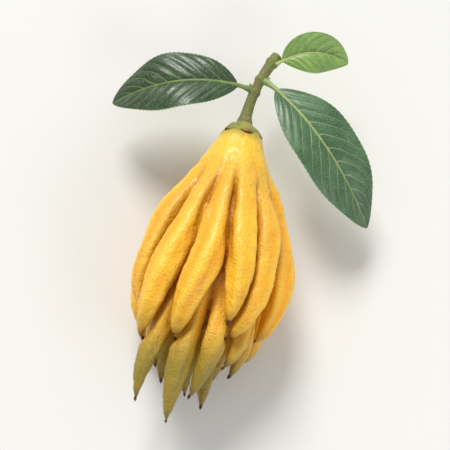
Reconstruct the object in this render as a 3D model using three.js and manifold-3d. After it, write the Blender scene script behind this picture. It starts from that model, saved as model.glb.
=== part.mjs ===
// A fingered citron (Buddha's hand), as picked: one fruit on a short cut stalk with three leaves.
// Millimetres, +Z up. The fruit lies on its back on the plane Z = 0 with its axis along Y: the stalk points
// to +Y and the fingertips to -Y. The origin is the middle of the flat that the fruit rests on.
import * as THREE from "three";
import { mergeVertices } from "three/addons/utils/BufferGeometryUtils.js";
import Module from "manifold-3d";

const wasm = await Module();
wasm.setup();

// ---- driving dimensions ----------------------------------------------------------------------------------
const STEM_Y = 82; // Y of the fruit's stem end
const AXIS_Z = 32.5; // height of the fruit's axis above the surface
const FLATTENING = 0.9; // the fruit's height over its width
const REST_DEPTH = 1; // how much of the lowest fingers is pressed flat against the surface
const GAP = 0.3; // clearance between pieces that touch
const SURFACE = 400; // side of the block that stands for the surface under the fruit

const WAVE_DEG = 2.5; // sideways waver of a finger, in degrees round the axis
const UNDERSIDE_POWER = 0.6; // below 1 this flattens the underside
const OUTER = { rootRadius: 4, point: 0.5, sides: 9, rings: 14 };
const INNER = { rootRadius: 6, point: 0.72, sides: 8, rings: 12 };
// How a finger leaves the axis and bellies out, as shares of its length and of its belly.
const PROFILE = { lift: 0.3, rise: 0.45, crest: 0.72, bulge: 1.5 };
const CORE_SIDES = 24;
const CORE_RINGS = 18;

const CALYX_RADIUS = 8.5;
const CALYX_HEIGHT = 3.6;
const CALYX_LOBES = 5;
const CALYX_SIDES = 30;
const CALYX_DROOP = 1.2; // how far the rim hangs below the stem end
const CALYX_RIM = 1; // thickness of the rim
const LOBE_DEPTH = 0.16; // how far the lobes stand out, as a share of the radius
const SEAT_RADIUS = 5.2; // where the cup leaves the fruit
const BOSS_RADIUS = 3.4;
const STALK_RADIUS = 2.7;
const STALK_SWELLING = 0.1; // how much thicker than its radius the stalk is at its ends
const STALK = { sides: 12, rings: 10 };

const LEAF_THICKNESS = 0.7;
const LEAF_FOLD = 0.3; // how steeply the two halves of a blade rise from the midrib
const LEAF_DROOP = 0.22; // how much their edges bend down again
const LEAF_STEPS = { across: 4, along: 14 };
const BLADE_OVERLAP = 0.7; // the share of the petiole that is free of the blade
const NARROWEST = 0.5; // half width of a blade at its very ends
const PETIOLE_RADIUS = 1.2;
const PETIOLE_REACH = 0.2; // the share of the midrib that the petiole's tube follows
const PETIOLE_TAPER = 0.55;
const PETIOLE = { sides: 8, rings: 5 };
const FOOT_REACH = 4; // from the stalk's middle to the foot of a petiole

// Colours and finishes of the living thing.
const PEEL = { color: 0xf5b52e, roughness: 0.42, metalness: 0 };
const CALYX_GREEN = { color: 0x6f7a34, roughness: 0.6, metalness: 0 };
const TWIG = { color: 0x5d6a35, roughness: 0.7, metalness: 0 };
const OLD_LEAF = { color: 0x1f3d22, roughness: 0.4, metalness: 0 };
const LEAF = { color: 0x47694a, roughness: 0.42, metalness: 0 };
const YOUNG_LEAF = { color: 0x86a552, roughness: 0.45, metalness: 0 };

// ---- the fruit's fingers ---------------------------------------------------------------------------------
// at: direction round the axis in degrees, 0 is +X and 90 is up. swing: what that direction gains by the tip.
// root and reach: where the finger starts and ends, measured down the axis from the stem end.
// belly and tip: how far its centreline stands from the axis at its widest and at its tip. girth: its radius.
const OUTER_FINGERS = [
  // The upper side, from left to right.
  { at: 160, swing: 6, root: 9, reach: 99, belly: 30, tip: 26, girth: 8.8 },
  { at: 129, swing: 32, root: 8, reach: 111, belly: 29, tip: 27, girth: 8.6 },
  { at: 95, swing: 24, root: 9, reach: 109, belly: 30, tip: 21, girth: 9.0 },
  { at: 71, swing: -10, root: 8, reach: 97, belly: 29, tip: 24, girth: 8.7 },
  { at: 37, swing: 20, root: 9, reach: 104, belly: 30, tip: 20, girth: 8.8 },
  { at: 5, swing: 4, root: 8, reach: 101, belly: 31, tip: 26, girth: 8.5 },
  // The underside, from left to right.
  { at: 189, swing: 2, root: 9, reach: 106, belly: 30, tip: 24, girth: 8.6 },
  { at: 217, swing: -6, root: 8, reach: 113, belly: 31, tip: 26, girth: 8.7 },
  { at: 243, swing: 5, root: 9, reach: 103, belly: 30, tip: 28, girth: 8.8 },
  { at: 267, swing: 0, root: 8, reach: 116, belly: 30, tip: 28, girth: 9.0 },
  { at: 298, swing: 4, root: 9, reach: 104, belly: 31, tip: 27, girth: 8.8 },
  { at: 327, swing: 3, root: 8, reach: 111, belly: 30, tip: 25, girth: 8.7 },
];
const INNER_FINGERS = [
  // The ring inside the outer one, whose tips reach further down.
  { at: 146, swing: 12, root: 40, reach: 139, belly: 21, tip: 24, girth: 6.8 },
  { at: 104, swing: 22, root: 42, reach: 146, belly: 19, tip: 12, girth: 7.5 },
  { at: 62, swing: 20, root: 40, reach: 133, belly: 20, tip: 9, girth: 7.5 },
  { at: 22, swing: 12, root: 41, reach: 117, belly: 20, tip: 16, girth: 7.1 },
  { at: 342, swing: 6, root: 40, reach: 119, belly: 20, tip: 18, girth: 7.0 },
  { at: 302, swing: -8, root: 42, reach: 123, belly: 19, tip: 20, girth: 7.2 },
  { at: 263, swing: 6, root: 40, reach: 131, belly: 19, tip: 21, girth: 7.3 },
  { at: 225, swing: 6, root: 41, reach: 127, belly: 20, tip: 21, girth: 7.1 },
  { at: 186, swing: -4, root: 42, reach: 121, belly: 20, tip: 17, girth: 6.9 },
  // The four at the heart.
  { at: 120, swing: 40, root: 48, reach: 130, belly: 7, tip: 8, girth: 7.2 },
  { at: 300, swing: 40, root: 48, reach: 136, belly: 7, tip: 8, girth: 7.2 },
  { at: 32, swing: 30, root: 50, reach: 121, belly: 8, tip: 10, girth: 6.4 },
  { at: 212, swing: 30, root: 50, reach: 125, belly: 8, tip: 10, girth: 6.4 },
];

// The undivided heart of the fruit, as distance down the axis and radius.
const CORE = [
  [0, 0], [0.8, 5.2], [3.5, 9], [9, 12], [18, 14.8], [30, 19],
  [45, 23], [62, 24], [80, 21], [93, 13], [101, 0],
];

// ---- the stalk and the leaves ----------------------------------------------------------------------------
const STALK_PATH = [[0, CALYX_HEIGHT + GAP, 0], [0, 16, 0], [3, 28, 3.5], [9, 40, 0.5]];

// from: the share of the stalk at which the leaf grows. midrib: two points that pull its curve, and its tip.
// face: the way its upper side looks. width: across its widest place. petiole: the midrib's share below it.
const LEAVES = [
  {
    name: "leaf_left", skin: OLD_LEAF, width: 31, petiole: 0.11, face: [-0.1, 0.25, 1],
    from: 0.42, midrib: [[-20, 20, 13], [-44, 15, 13], [-66, 2, -9]],
  },
  {
    name: "leaf_right", skin: LEAF, width: 34, petiole: 0.1, face: [0.15, 0.2, 1],
    from: 0.6, midrib: [[24, 14, 14], [50, -8, 14], [70, -32, -14]],
  },
  {
    name: "leaf_young", skin: YOUNG_LEAF, width: 20, petiole: 0.1, face: [0.1, -0.25, 1],
    from: 0.88, midrib: [[18, 43, 7], [31, 47, 9], [44, 44, 0]],
  },
];

// ---- helpers ---------------------------------------------------------------------------------------------
const UP = new THREE.Vector3(0, 0, 1);
const vector = (xyz) => new THREE.Vector3(...xyz);
const bezier = (points) => new THREE.CubicBezierCurve3(...points.map(vector));

function solidFrom(geometry) {
  const bare = geometry.clone().deleteAttribute("normal").deleteAttribute("uv");
  const merged = mergeVertices(bare, 1e-4);
  return new wasm.Manifold(new wasm.Mesh({
    numProp: 3,
    vertProperties: Float32Array.from(merged.attributes.position.array),
    triVerts: Uint32Array.from(merged.index.array),
  }));
}

function geometryFrom(solid) {
  const mesh = solid.getMesh();
  const geometry = new THREE.BufferGeometry();
  geometry.setAttribute("position", new THREE.BufferAttribute(mesh.vertProperties, 3));
  geometry.setIndex(new THREE.BufferAttribute(mesh.triVerts, 1));
  geometry.computeVertexNormals();
  return geometry;
}

function meshOf(name, geometry, skin) {
  const mesh = new THREE.Mesh(geometry, new THREE.MeshStandardMaterial(skin));
  mesh.name = name;
  return mesh;
}

// Moves every vertex of a geometry by a function of its place.
function reshape(geometry, place) {
  const position = geometry.attributes.position;
  for (let i = 0; i < position.count; i++) {
    const p = place(new THREE.Vector3().fromBufferAttribute(position, i));
    position.setXYZ(i, p.x, p.y, p.z);
  }
  return geometry;
}

// The point t of a curve, with the direction across it (side) and the one leaning towards `toward` (normal).
function stationOn(curve, t, toward) {
  const point = curve.getPointAt(t);
  const tangent = curve.getTangentAt(t);
  const side = new THREE.Vector3().crossVectors(toward(point), tangent).normalize();
  const normal = new THREE.Vector3().crossVectors(tangent, side);
  return { point, side, normal };
}

// A tube with round ends along a curve: a sphere whose latitude becomes the distance t and whose longitude
// stays the angle round the curve. The rings crowd together towards the tip.
function taperedTube(curve, radiusAt, toward, { sides, rings }) {
  const stations = Array.from({ length: rings + 1 }, (_, i) => {
    const t = 1 - (1 - i / rings) ** 1.5;
    return { ...stationOn(curve, t, toward), radius: i % rings ? radiusAt(t) : 0 };
  });
  return reshape(new THREE.SphereGeometry(1, sides, rings), (p) => {
    const ring = Math.round((Math.acos(THREE.MathUtils.clamp(p.y, -1, 1)) / Math.PI) * rings);
    const { point, side, normal, radius } = stations[ring];
    const across = new THREE.Vector2(p.x, p.z).normalize().multiplyScalar(radius);
    return point.clone().addScaledVector(side, across.x).addScaledVector(normal, across.y);
  });
}

// A tube with flat ends along a curve: a closed cylinder whose height becomes the distance t.
function cutTube(curve, radiusAt, { sides, rings }) {
  return reshape(new THREE.CylinderGeometry(1, 1, 1, sides, rings), (p) => {
    const t = Math.round((0.5 - p.y) * rings) / rings;
    const { point, side, normal } = stationOn(curve, t, () => UP);
    return point.addScaledVector(side, p.x * radiusAt(t)).addScaledVector(normal, p.z * radiusAt(t));
  });
}

// ---- the fruit -------------------------------------------------------------------------------------------
// A finger's radius as a share of its girth: fullest at its middle, then drawn out to its end. The power
// `point` sets how sharp that end is.
const fingerTaper = (t, point) => (0.6 + 0.4 * Math.sin(Math.PI * t ** 0.75)) * (1 - t ** 6) ** point;

class FingerCurve extends THREE.Curve {
  constructor(finger, { rootRadius, point }, index) {
    super();
    this.finger = finger;
    this.point = point;
    this.phase = index * 0.618;
    const { root, reach, belly, tip } = finger;
    const length = reach - root;
    // Distance down the axis, and distance from the axis.
    this.profile = new THREE.CubicBezierCurve(
      new THREE.Vector2(root, rootRadius),
      new THREE.Vector2(root + PROFILE.lift * length, PROFILE.rise * belly),
      new THREE.Vector2(root + PROFILE.crest * length, PROFILE.bulge * belly),
      new THREE.Vector2(reach, tip),
    );
  }
  getPoint(t, target = new THREE.Vector3()) {
    const { at, swing, girth } = this.finger;
    const { x: down, y: out } = this.profile.getPoint(t);
    const waver = WAVE_DEG * t * Math.sin(2 * Math.PI * (1.2 * t + this.phase));
    const turn = THREE.MathUtils.degToRad(at + swing * t ** 4 + waver);
    const sine = Math.sin(turn);
    const rise = sine < 0 ? -((-sine) ** UNDERSIDE_POWER) : sine;
    const lowest = girth * fingerTaper(Math.min(t, 0.97), this.point) - REST_DEPTH - AXIS_Z;
    return target.set(out * Math.cos(turn), -down, Math.max(FLATTENING * out * rise, lowest));
  }
}

const awayFromAxis = (point) => new THREE.Vector3(point.x, 0, point.z);

function coreGeometry() {
  const outline = new THREE.SplineCurve(CORE.map(([down, radius]) => new THREE.Vector2(radius, -down)));
  const profile = outline.getPoints(CORE_RINGS).reverse();
  profile[0].x = 0;
  profile[profile.length - 1].x = 0;
  return new THREE.LatheGeometry(profile, CORE_SIDES).scale(1, 1, FLATTENING);
}

function fruitGeometry() {
  let fruit = solidFrom(coreGeometry());
  for (const [fingers, ring] of [[OUTER_FINGERS, OUTER], [INNER_FINGERS, INNER]]) {
    fingers.forEach((finger, index) => {
      const curve = new FingerCurve(finger, ring, index);
      const radiusAt = (t) => finger.girth * fingerTaper(t, ring.point);
      fruit = fruit.add(solidFrom(taperedTube(curve, radiusAt, awayFromAxis, ring)));
    });
  }
  const surface = new THREE.BoxGeometry(SURFACE, SURFACE, SURFACE);
  surface.translate(0, 0, -SURFACE / 2 - AXIS_Z);
  return geometryFrom(fruit.subtract(solidFrom(surface)));
}

// ---- the calyx -------------------------------------------------------------------------------------------
// A shallow star-shaped cup, five lobes round a thick boss, seated on the stem end.
function calyxGeometry() {
  const cup = [
    [0, GAP], [SEAT_RADIUS, GAP], [CALYX_RADIUS, -CALYX_DROOP], [CALYX_RADIUS, CALYX_RIM - CALYX_DROOP],
    [6.2, 1.6], [4.2, 2.4], [BOSS_RADIUS, CALYX_HEIGHT], [0, CALYX_HEIGHT],
  ];
  const profile = cup.map(([radius, height]) => new THREE.Vector2(radius, height));
  return reshape(new THREE.LatheGeometry(profile, CALYX_SIDES), (p) => {
    const rim = THREE.MathUtils.smoothstep(Math.hypot(p.x, p.z), BOSS_RADIUS, CALYX_RADIUS);
    const lobe = 1 + LOBE_DEPTH * rim * Math.cos(CALYX_LOBES * Math.atan2(p.z, p.x));
    return p.set(p.x * lobe, p.y, p.z * lobe);
  });
}

// ---- the stalk and the leaves ----------------------------------------------------------------------------
function stalkGeometry() {
  const radiusAt = (t) => STALK_RADIUS * (1 + STALK_SWELLING * (1 - 2 * Math.sin(Math.PI * t)));
  return cutTube(bezier(STALK_PATH), radiusAt, STALK);
}

// A blade's half width as a share of its widest, from its base to its tip.
const leafOutline = (along) => Math.sin(Math.PI * along ** 0.9) ** 0.75;

function leafGeometry({ from, midrib, face, width, petiole }) {
  const stalk = bezier(STALK_PATH);
  const origin = stalk.getPointAt(from);
  const away = vector(midrib[0]).sub(origin).projectOnPlane(stalk.getTangentAt(from)).normalize();
  const foot = origin.clone().addScaledVector(away, FOOT_REACH);
  const curve = new THREE.CubicBezierCurve3(foot, ...midrib.map(vector));
  const upward = vector(face);
  // A thin slab whose length follows the midrib and whose width follows the leaf's outline.
  const slab = new THREE.BoxGeometry(1, 1, 1, LEAF_STEPS.across, LEAF_STEPS.along, 1);
  const blade = reshape(slab, (p) => {
    const along = 0.5 - p.y;
    const across = p.x * 2;
    const base = petiole * BLADE_OVERLAP;
    const { point, side, normal } = stationOn(curve, base + (1 - base) * along, () => upward);
    const half = Math.max(NARROWEST, (width / 2) * leafOutline(along));
    const fold = half * (LEAF_FOLD * Math.abs(across) - LEAF_DROOP * across * across);
    return point.addScaledVector(side, across * half).addScaledVector(normal, fold + p.z * LEAF_THICKNESS);
  });
  const start = [0, PETIOLE_REACH / 2, PETIOLE_REACH].map((t) => curve.getPointAt(t));
  const radiusAt = (t) => PETIOLE_RADIUS * (1 - PETIOLE_TAPER * t);
  const petioleTube = cutTube(new THREE.CatmullRomCurve3(start), radiusAt, PETIOLE);
  return geometryFrom(solidFrom(blade).add(solidFrom(petioleTube)));
}

// ---- the assembly ----------------------------------------------------------------------------------------
// Every piece is drawn from the fruit's stem end, with the fruit's axis running down -Y.
const citron = new THREE.Group();
citron.position.set(0, STEM_Y, AXIS_Z);
citron.add(meshOf("citron_fruit", fruitGeometry(), PEEL));
citron.add(meshOf("calyx", calyxGeometry(), CALYX_GREEN));
citron.add(meshOf("fruit_stalk", stalkGeometry(), TWIG));
for (const leaf of LEAVES) citron.add(meshOf(leaf.name, leafGeometry(leaf), leaf.skin));

export default citron;
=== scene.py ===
# %% [markdown]
# # A Buddha's hand citron, laid down as picked
# This lesson dresses one fingered citron: a yellow fruit whose segments have grown apart into fingers, on a
# short cut stalk with its calyx and three leaves. The frame that is loaded first holds the measured solids.
# Every piece below is made in the same metres and stands in for one of those solids. The fruit lies on its
# back on the plane Z = 0, with the stalk towards +Y and the fingertips towards -Y.

import math

import bpy
import numpy as np
from mathutils import Matrix, Vector


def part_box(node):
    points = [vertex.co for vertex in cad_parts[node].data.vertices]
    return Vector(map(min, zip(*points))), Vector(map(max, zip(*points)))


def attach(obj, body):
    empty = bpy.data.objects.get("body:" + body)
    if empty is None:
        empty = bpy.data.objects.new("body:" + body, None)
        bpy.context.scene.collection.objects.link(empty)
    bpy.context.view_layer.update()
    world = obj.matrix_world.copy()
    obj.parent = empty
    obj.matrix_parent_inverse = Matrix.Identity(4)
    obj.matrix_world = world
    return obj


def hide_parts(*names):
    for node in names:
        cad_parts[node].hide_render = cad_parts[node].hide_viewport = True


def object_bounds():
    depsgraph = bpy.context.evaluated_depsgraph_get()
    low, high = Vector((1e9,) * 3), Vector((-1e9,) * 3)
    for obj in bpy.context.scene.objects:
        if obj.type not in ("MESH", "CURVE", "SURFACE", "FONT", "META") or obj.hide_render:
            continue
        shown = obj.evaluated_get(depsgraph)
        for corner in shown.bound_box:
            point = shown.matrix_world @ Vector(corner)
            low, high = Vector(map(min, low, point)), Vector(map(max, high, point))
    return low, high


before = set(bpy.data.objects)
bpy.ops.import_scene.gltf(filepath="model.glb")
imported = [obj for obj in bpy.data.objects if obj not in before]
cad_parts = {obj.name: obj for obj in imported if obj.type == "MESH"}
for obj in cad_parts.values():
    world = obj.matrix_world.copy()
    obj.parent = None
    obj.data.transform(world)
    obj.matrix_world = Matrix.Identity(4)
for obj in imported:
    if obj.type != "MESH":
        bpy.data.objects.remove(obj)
frame_low, frame_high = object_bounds()

MM = 0.001
GOLDEN = 0.618  # steps of this share never fall into a pattern, so they vary what repeats
fruit_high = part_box("citron_fruit")[1]
calyx_low, calyx_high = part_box("calyx")
# Every piece is drawn in millimetres from the fruit's stem end, with the fruit's axis running down -Y.
STEM_END = Vector((0, fruit_high.y, (calyx_low.z + calyx_high.z) / 2))
SURFACE = -STEM_END.z / MM  # height of the surface below the stem end
print(len(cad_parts), "nodes, stem end at", [round(value, 4) for value in STEM_END])

# %% [markdown]
# ## Camera
# A hanging fruit seen from its side is a lying fruit seen from above, so the camera looks down. It leans a
# little, so that the stalk points up and to the right. A long lens at a distance keeps the fingers' true
# proportions: a short lens would swell the ones that are nearest.

# %% Camera
CAMERA_ELEVATION = 79
CAMERA_LEAN = 12
CAMERA_LENS = 100
CAMERA_DISTANCE = 0.6
CAMERA_SHIFT = Vector((-0.001, -0.002, 0))  # from the frame's middle to what the camera looks at


def aim(camera, target, elevation, lean, distance):
    """Looks at the target from above, along +Y and down, turned by lean about the line of sight."""
    tilt = math.radians(elevation)
    back = Vector((0, -math.cos(tilt), math.sin(tilt)))
    right = Vector((1, 0, 0))
    turn = Matrix((right, back.cross(right), back)).transposed()
    turn = turn @ Matrix.Rotation(math.radians(lean), 3, "Z")
    camera.matrix_world = Matrix.Translation(target + back * distance) @ turn.to_4x4()


camera = bpy.data.objects.new("camera", bpy.data.cameras.new("camera"))
bpy.context.scene.collection.objects.link(camera)
bpy.context.scene.camera = camera
camera.data.lens = CAMERA_LENS
camera_target = (frame_low + frame_high) / 2 + CAMERA_SHIFT
aim(camera, camera_target, CAMERA_ELEVATION, CAMERA_LEAN, CAMERA_DISTANCE)
print("camera looks at", [round(value, 3) for value in camera_target])

# %% [markdown]
# ## Node helpers
# Materials and Geometry Nodes trees are both made of nodes, so one small helper adds a node, sets it and
# wires it in one line. The others shorten the nodes that are used most.


# %% Node helpers
def add(tree, kind, inputs=None, **settings):
    """Adds a node. Each input is a value, or an output socket to link from."""
    node = tree.nodes.new(kind)
    for name, value in settings.items():
        setattr(node, name, value)
    for key, value in (inputs or {}).items():
        if isinstance(value, bpy.types.NodeSocket):
            tree.links.new(value, node.inputs[key])
        else:
            node.inputs[key].default_value = value
    return node


def maths(tree, operation, *values):
    """One Math node."""
    return add(tree, "ShaderNodeMath", dict(enumerate(values)), operation=operation).outputs[0]


def eased(tree, value, low, high, start=0.0, stop=1.0):
    """Maps low..high smoothly to start..stop."""
    inputs = {"Value": value, "From Min": low, "From Max": high, "To Min": start, "To Max": stop}
    return add(tree, "ShaderNodeMapRange", inputs, interpolation_type="SMOOTHSTEP").outputs[0]


def mixed(tree, amount, first, second):
    """Mixes two colours."""
    return add(tree, "ShaderNodeMix", {0: amount, 6: first, 7: second}, data_type="RGBA").outputs[2]


print("helpers add nodes, sums, eased ranges and mixes")

# %% [markdown]
# ## Helpers for finishes
# Every finish needs colours, soft noise and a bumpy normal. Colours are written as on a paint card, in six
# hexadecimal digits, but the shader counts light, so they are changed to linear numbers. What a mesh knows
# at each vertex comes into the material as an attribute.


# %% Helpers for finishes
def colour(code):
    """A colour written as six hexadecimal digits, as the linear colour that the shader needs."""
    shares = [int(code[i : i + 2], 16) / 255 for i in (0, 2, 4)]
    return (*(s / 12.92 if s < 0.04045 else ((s + 0.055) / 1.055) ** 2.4 for s in shares), 1)


def attribute(tree, name):
    """A number that a mesh carries at each vertex."""
    return add(tree, "ShaderNodeAttribute", attribute_name=name).outputs["Fac"]


def noise(tree, where, scale, detail):
    """Soft noise from 0 to 1. scale: its waves in a metre. detail: how many finer waves it carries."""
    inputs = {"Vector": where, "Scale": scale, "Detail": detail}
    return add(tree, "ShaderNodeTexNoise", inputs).outputs["Fac"]


def bumped(tree, height, strength, distance, **under):
    """A normal that follows a height. under: the Normal that lies below it, where there is one."""
    inputs = {"Height": height, "Strength": strength, "Distance": distance, **under}
    return add(tree, "ShaderNodeBump", inputs).outputs[0]


print("ripe yellow in linear light:", [round(part, 2) for part in colour("F4AC1C")])

# %% [markdown]
# ## Node groups
# A group is a small tree of its own that several materials or meshes can use. Its inputs are named, so
# whoever opens the file later can change a size without reading the nodes. An input is given here by its
# default, from which the helper knows what kind of socket it is.

# %% Node groups
SOCKET_KINDS = {float: "Float", int: "Int", tuple: "Color"}


def new_group(kind, name, inputs, outputs):
    """An empty node group. Each input has a default, or the name of its kind where it has none."""
    tree = bpy.data.node_groups.new(name, kind)
    for label, value in inputs.items():
        socket_kind = "NodeSocket" + (value if isinstance(value, str) else SOCKET_KINDS[type(value)])
        socket = tree.interface.new_socket(label, in_out="INPUT", socket_type=socket_kind)
        if not isinstance(value, str):
            socket.default_value = value
    for label, output_kind in outputs.items():
        tree.interface.new_socket(label, in_out="OUTPUT", socket_type="NodeSocket" + output_kind)
    return tree, tree.nodes.new("NodeGroupInput").outputs, tree.nodes.new("NodeGroupOutput").inputs


def placed_group(tree, group, inputs):
    """Places a shader group in a material and returns its outputs."""
    return add(tree, "ShaderNodeGroup", inputs, node_tree=group).outputs


print("groups take", ", ".join(SOCKET_KINDS.values()), "and named kinds")

# %% [markdown]
# ## Oil glands
# Citrus skin, leaf and young bark all carry oil glands: tiny clear dots just under the surface. They could
# be modelled one by one, but there are thousands, so they are a Voronoi texture whose cell centres become
# dots and dimples. Peel, green skins, bark and leaves share the group, each with its own spacing.


# %% Oil glands
def make_gland_group():
    """Dots at the cells' middles, with a height that dips at each one."""
    tree, enter, leave = new_group(
        "ShaderNodeTree",
        "oil_glands",
        {"Vector": "Vector", "Spacing": 0.0013, "Dot": 0.3},
        {"Dots": "Float", "Height": "Float"},
    )
    scale = maths(tree, "DIVIDE", 1.0, enter["Spacing"])
    cells = add(tree, "ShaderNodeTexVoronoi", {"Vector": enter["Vector"], "Scale": scale}).outputs["Distance"]
    tree.links.new(eased(tree, cells, enter["Dot"], 0.0), leave["Dots"])
    tree.links.new(eased(tree, cells, 0.0, 0.55), leave["Height"])
    return tree


glands = make_gland_group()
print(glands.name, "has", len(glands.nodes), "nodes")

# %% [markdown]
# ## Mottling
# Nothing that grows has one even colour. This group turns a colour towards a second one in soft patches. It
# gives out the mask of the patches too, because a patch that differs in colour mostly differs in gloss.


# %% Mottling
def make_mottle_group():
    """Turns one colour towards another in soft patches of a given size."""
    tree, enter, leave = new_group(
        "ShaderNodeTree",
        "mottling",
        {
            "Vector": "Vector", "Color": (1.0, 1.0, 1.0, 1.0), "Patch Color": (0.0, 0.0, 0.0, 1.0),
            "Patch Size": 0.01, "Amount": 0.5,
        },
        {"Color": "Color", "Mask": "Float"},
    )
    scale = maths(tree, "DIVIDE", 1.0, enter["Patch Size"])
    soft = eased(tree, noise(tree, enter["Vector"], scale, detail=4.0), 0.38, 0.66)
    mask = maths(tree, "MULTIPLY", soft, enter["Amount"])
    tree.links.new(mixed(tree, mask, enter["Color"], enter["Patch Color"]), leave["Color"])
    tree.links.new(mask, leave["Mask"])
    return tree


def mottled(tree, where, main, patch, size, amount):
    """A mottled colour and the mask of its patches."""
    return placed_group(tree, mottling, {
        "Vector": where, "Color": main, "Patch Color": colour(patch), "Patch Size": size, "Amount": amount,
    })


mottling = make_mottle_group()
print(mottling.name, "has", len(mottling.nodes), "nodes")

# %% [markdown]
# ## The peel's colours
# Ripe peel is warm golden yellow, olive on the lowest fingers and olive to brown at the fingertips. Painted
# shade turns the clefts between fingers orange-brown and darkens the lowest fingers, and painted highlights
# make the shoulder and each finger's ridges paler. Those places are known when the skin is made, so they are
# stored on its vertices and the material only reads them. A painted image could not follow the fingers this
# closely. The layers are laid on from the general to the particular.

# %% The peel's colours
PEEL_LAYERS = {
    # what the skin knows at each vertex: the colour that it turns the peel to
    # painted highlight: paler yellow along each finger's ridges
    "ridge_highlight": "FFCB40",
    # painted highlight: paler yellow over the shoulder near the stem
    "shoulder": "F8C93E",
    "crown": "A89C38",
    # painted shade: orange-brown deep in the clefts between fingers
    "cleft_shade": "AD6810",
    # the olive of the lowest fingers, darkened further there as painted shade
    "lower": "9C8628",
    "tip": "7A5A2C",
}


def peel_colours(tree, where):
    """The peel's colour before its glands and scuffs, and the mask of its patches."""
    tone = mixed(tree, attribute(tree, "tone"), colour("F4AC1C"), colour("FFCB30"))
    patches = mottled(tree, where, tone, "F7A51E", size=0.012, amount=0.5)
    skin = patches["Color"]
    # the layers paint shade into the clefts and onto the lowest fingers, and highlights onto the shoulder and
    # ridges
    for place, code in PEEL_LAYERS.items():
        skin = mixed(tree, attribute(tree, place), skin, colour(code))
    return skin, patches["Mask"]


print("peel has", len(PEEL_LAYERS), "layers of colour over its patches")

# %% [markdown]
# ## The peel's surface
# The skin is waxy. A thin dull coat gives it soft long highlights, and a little light scatters under it,
# which keeps the clefts warm instead of black. Oil glands dimple it, and where fingers rubbed against twigs
# it has dry brown scuffs. Values that are the same all over stay on the shader's own sockets.


# %% The peel's surface
def make_material(name, roughness, **uniform):
    """A material with its shader's inputs, and Object coordinates to place its patterns with."""
    material = bpy.data.materials.new(name)
    material.use_nodes = True
    tree = material.node_tree
    shader = tree.nodes["Principled BSDF"]
    shader.inputs["Roughness"].default_value = roughness
    for socket, value in uniform.items():
        shader.inputs[socket.replace("_", " ")].default_value = value
    where = add(tree, "ShaderNodeTexCoord").outputs["Object"]
    return material, tree, shader.inputs, where


def scuffs(tree, where):
    """A mask of short scratches inside a few rubbed patches."""
    rubbed = eased(tree, noise(tree, where, scale=38.0, detail=1.0), 0.58, 0.7)
    scratches = eased(tree, noise(tree, where, scale=700.0, detail=3.0), 0.52, 0.66, 0.0, 0.3)
    return maths(tree, "MULTIPLY", rubbed, scratches)


def make_peel():
    """The whole finish of the peel."""
    material, tree, shader, where = make_material(
        "peel", 0.4, Subsurface_Weight=0.18, Subsurface_Scale=0.004, Subsurface_Radius=(1.0, 0.45, 0.08),
        Coat_Weight=0.12, Coat_Roughness=0.34,
    )
    skin, patch_mask = peel_colours(tree, where)
    dots = placed_group(tree, glands, {"Vector": where, "Spacing": 0.0015, "Dot": 0.34})
    pitted = mixed(tree, maths(tree, "MULTIPLY", dots["Dots"], 0.22), skin, colour("B97A14"))
    tree.links.new(mixed(tree, scuffs(tree, where), pitted, colour("9C6B26")), shader["Base Color"])
    tree.links.new(eased(tree, patch_mask, 0.0, 0.5, 0.37, 0.5), shader["Roughness"])
    dimples = bumped(tree, dots["Height"], strength=0.6, distance=0.00042)
    grain = noise(tree, where, scale=420.0, detail=3.0)
    wax = bumped(tree, grain, strength=0.35, distance=0.0004, Normal=dimples)
    tree.links.new(wax, shader["Normal"])
    return material


peel = make_peel()
print("peel has", len(peel.node_tree.nodes), "nodes")

# %% [markdown]
# ## The fruit's rule
# The fruit is one heart with fingers growing out of it near the stem. Every finger follows the same rule: it
# leaves the axis in its own direction, swells away from it, turns a little and draws in again at its tip. So
# a table with one line for each finger gives the whole fruit, and it repeats the table of the frame.

# %% The fingers' table
OUTER_FINGERS = [
    # direction in degrees (0 is +X, 90 is up), turn by the tip, start and end down the axis,
    # distance from the axis at the belly and at the tip, radius
    (160, 6, 9, 99, 30, 26, 8.8),
    (129, 32, 8, 111, 29, 27, 8.6),
    (95, 24, 9, 109, 30, 21, 9.0),
    (71, -10, 8, 97, 29, 24, 8.7),
    (37, 20, 9, 104, 30, 20, 8.8),
    (5, 4, 8, 101, 31, 26, 8.5),
    (189, 2, 9, 106, 30, 24, 8.6),
    (217, -6, 8, 113, 31, 26, 8.7),
    (243, 5, 9, 103, 30, 28, 8.8),
    (267, 0, 8, 116, 30, 28, 9.0),
    (298, 4, 9, 104, 31, 27, 8.8),
    (327, 3, 8, 111, 30, 25, 8.7),
]
INNER_FINGERS = [
    (146, 12, 40, 139, 21, 24, 6.8),
    (104, 22, 42, 146, 19, 12, 7.5),
    (62, 20, 40, 133, 20, 9, 7.5),
    (22, 12, 41, 117, 20, 16, 7.1),
    (342, 6, 40, 119, 20, 18, 7.0),
    (302, -8, 42, 123, 19, 20, 7.2),
    (263, 6, 40, 131, 19, 21, 7.3),
    (225, 6, 41, 127, 20, 21, 7.1),
    (186, -4, 42, 121, 20, 17, 6.9),
    (120, 40, 48, 130, 7, 8, 7.2),
    (300, 40, 48, 136, 7, 8, 7.2),
    (32, 30, 50, 121, 8, 10, 6.4),
    (212, 30, 50, 125, 8, 10, 6.4),
]
print(len(OUTER_FINGERS), "outer and", len(INNER_FINGERS), "inner fingers")

# %% [markdown]
# ## Curves
# Fingers, stalk and midribs all run along smooth curves. Four points bend a cubic curve, and a list of
# places along it is then spaced by true length, so that rings and teeth are never crowded in a bend.


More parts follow.
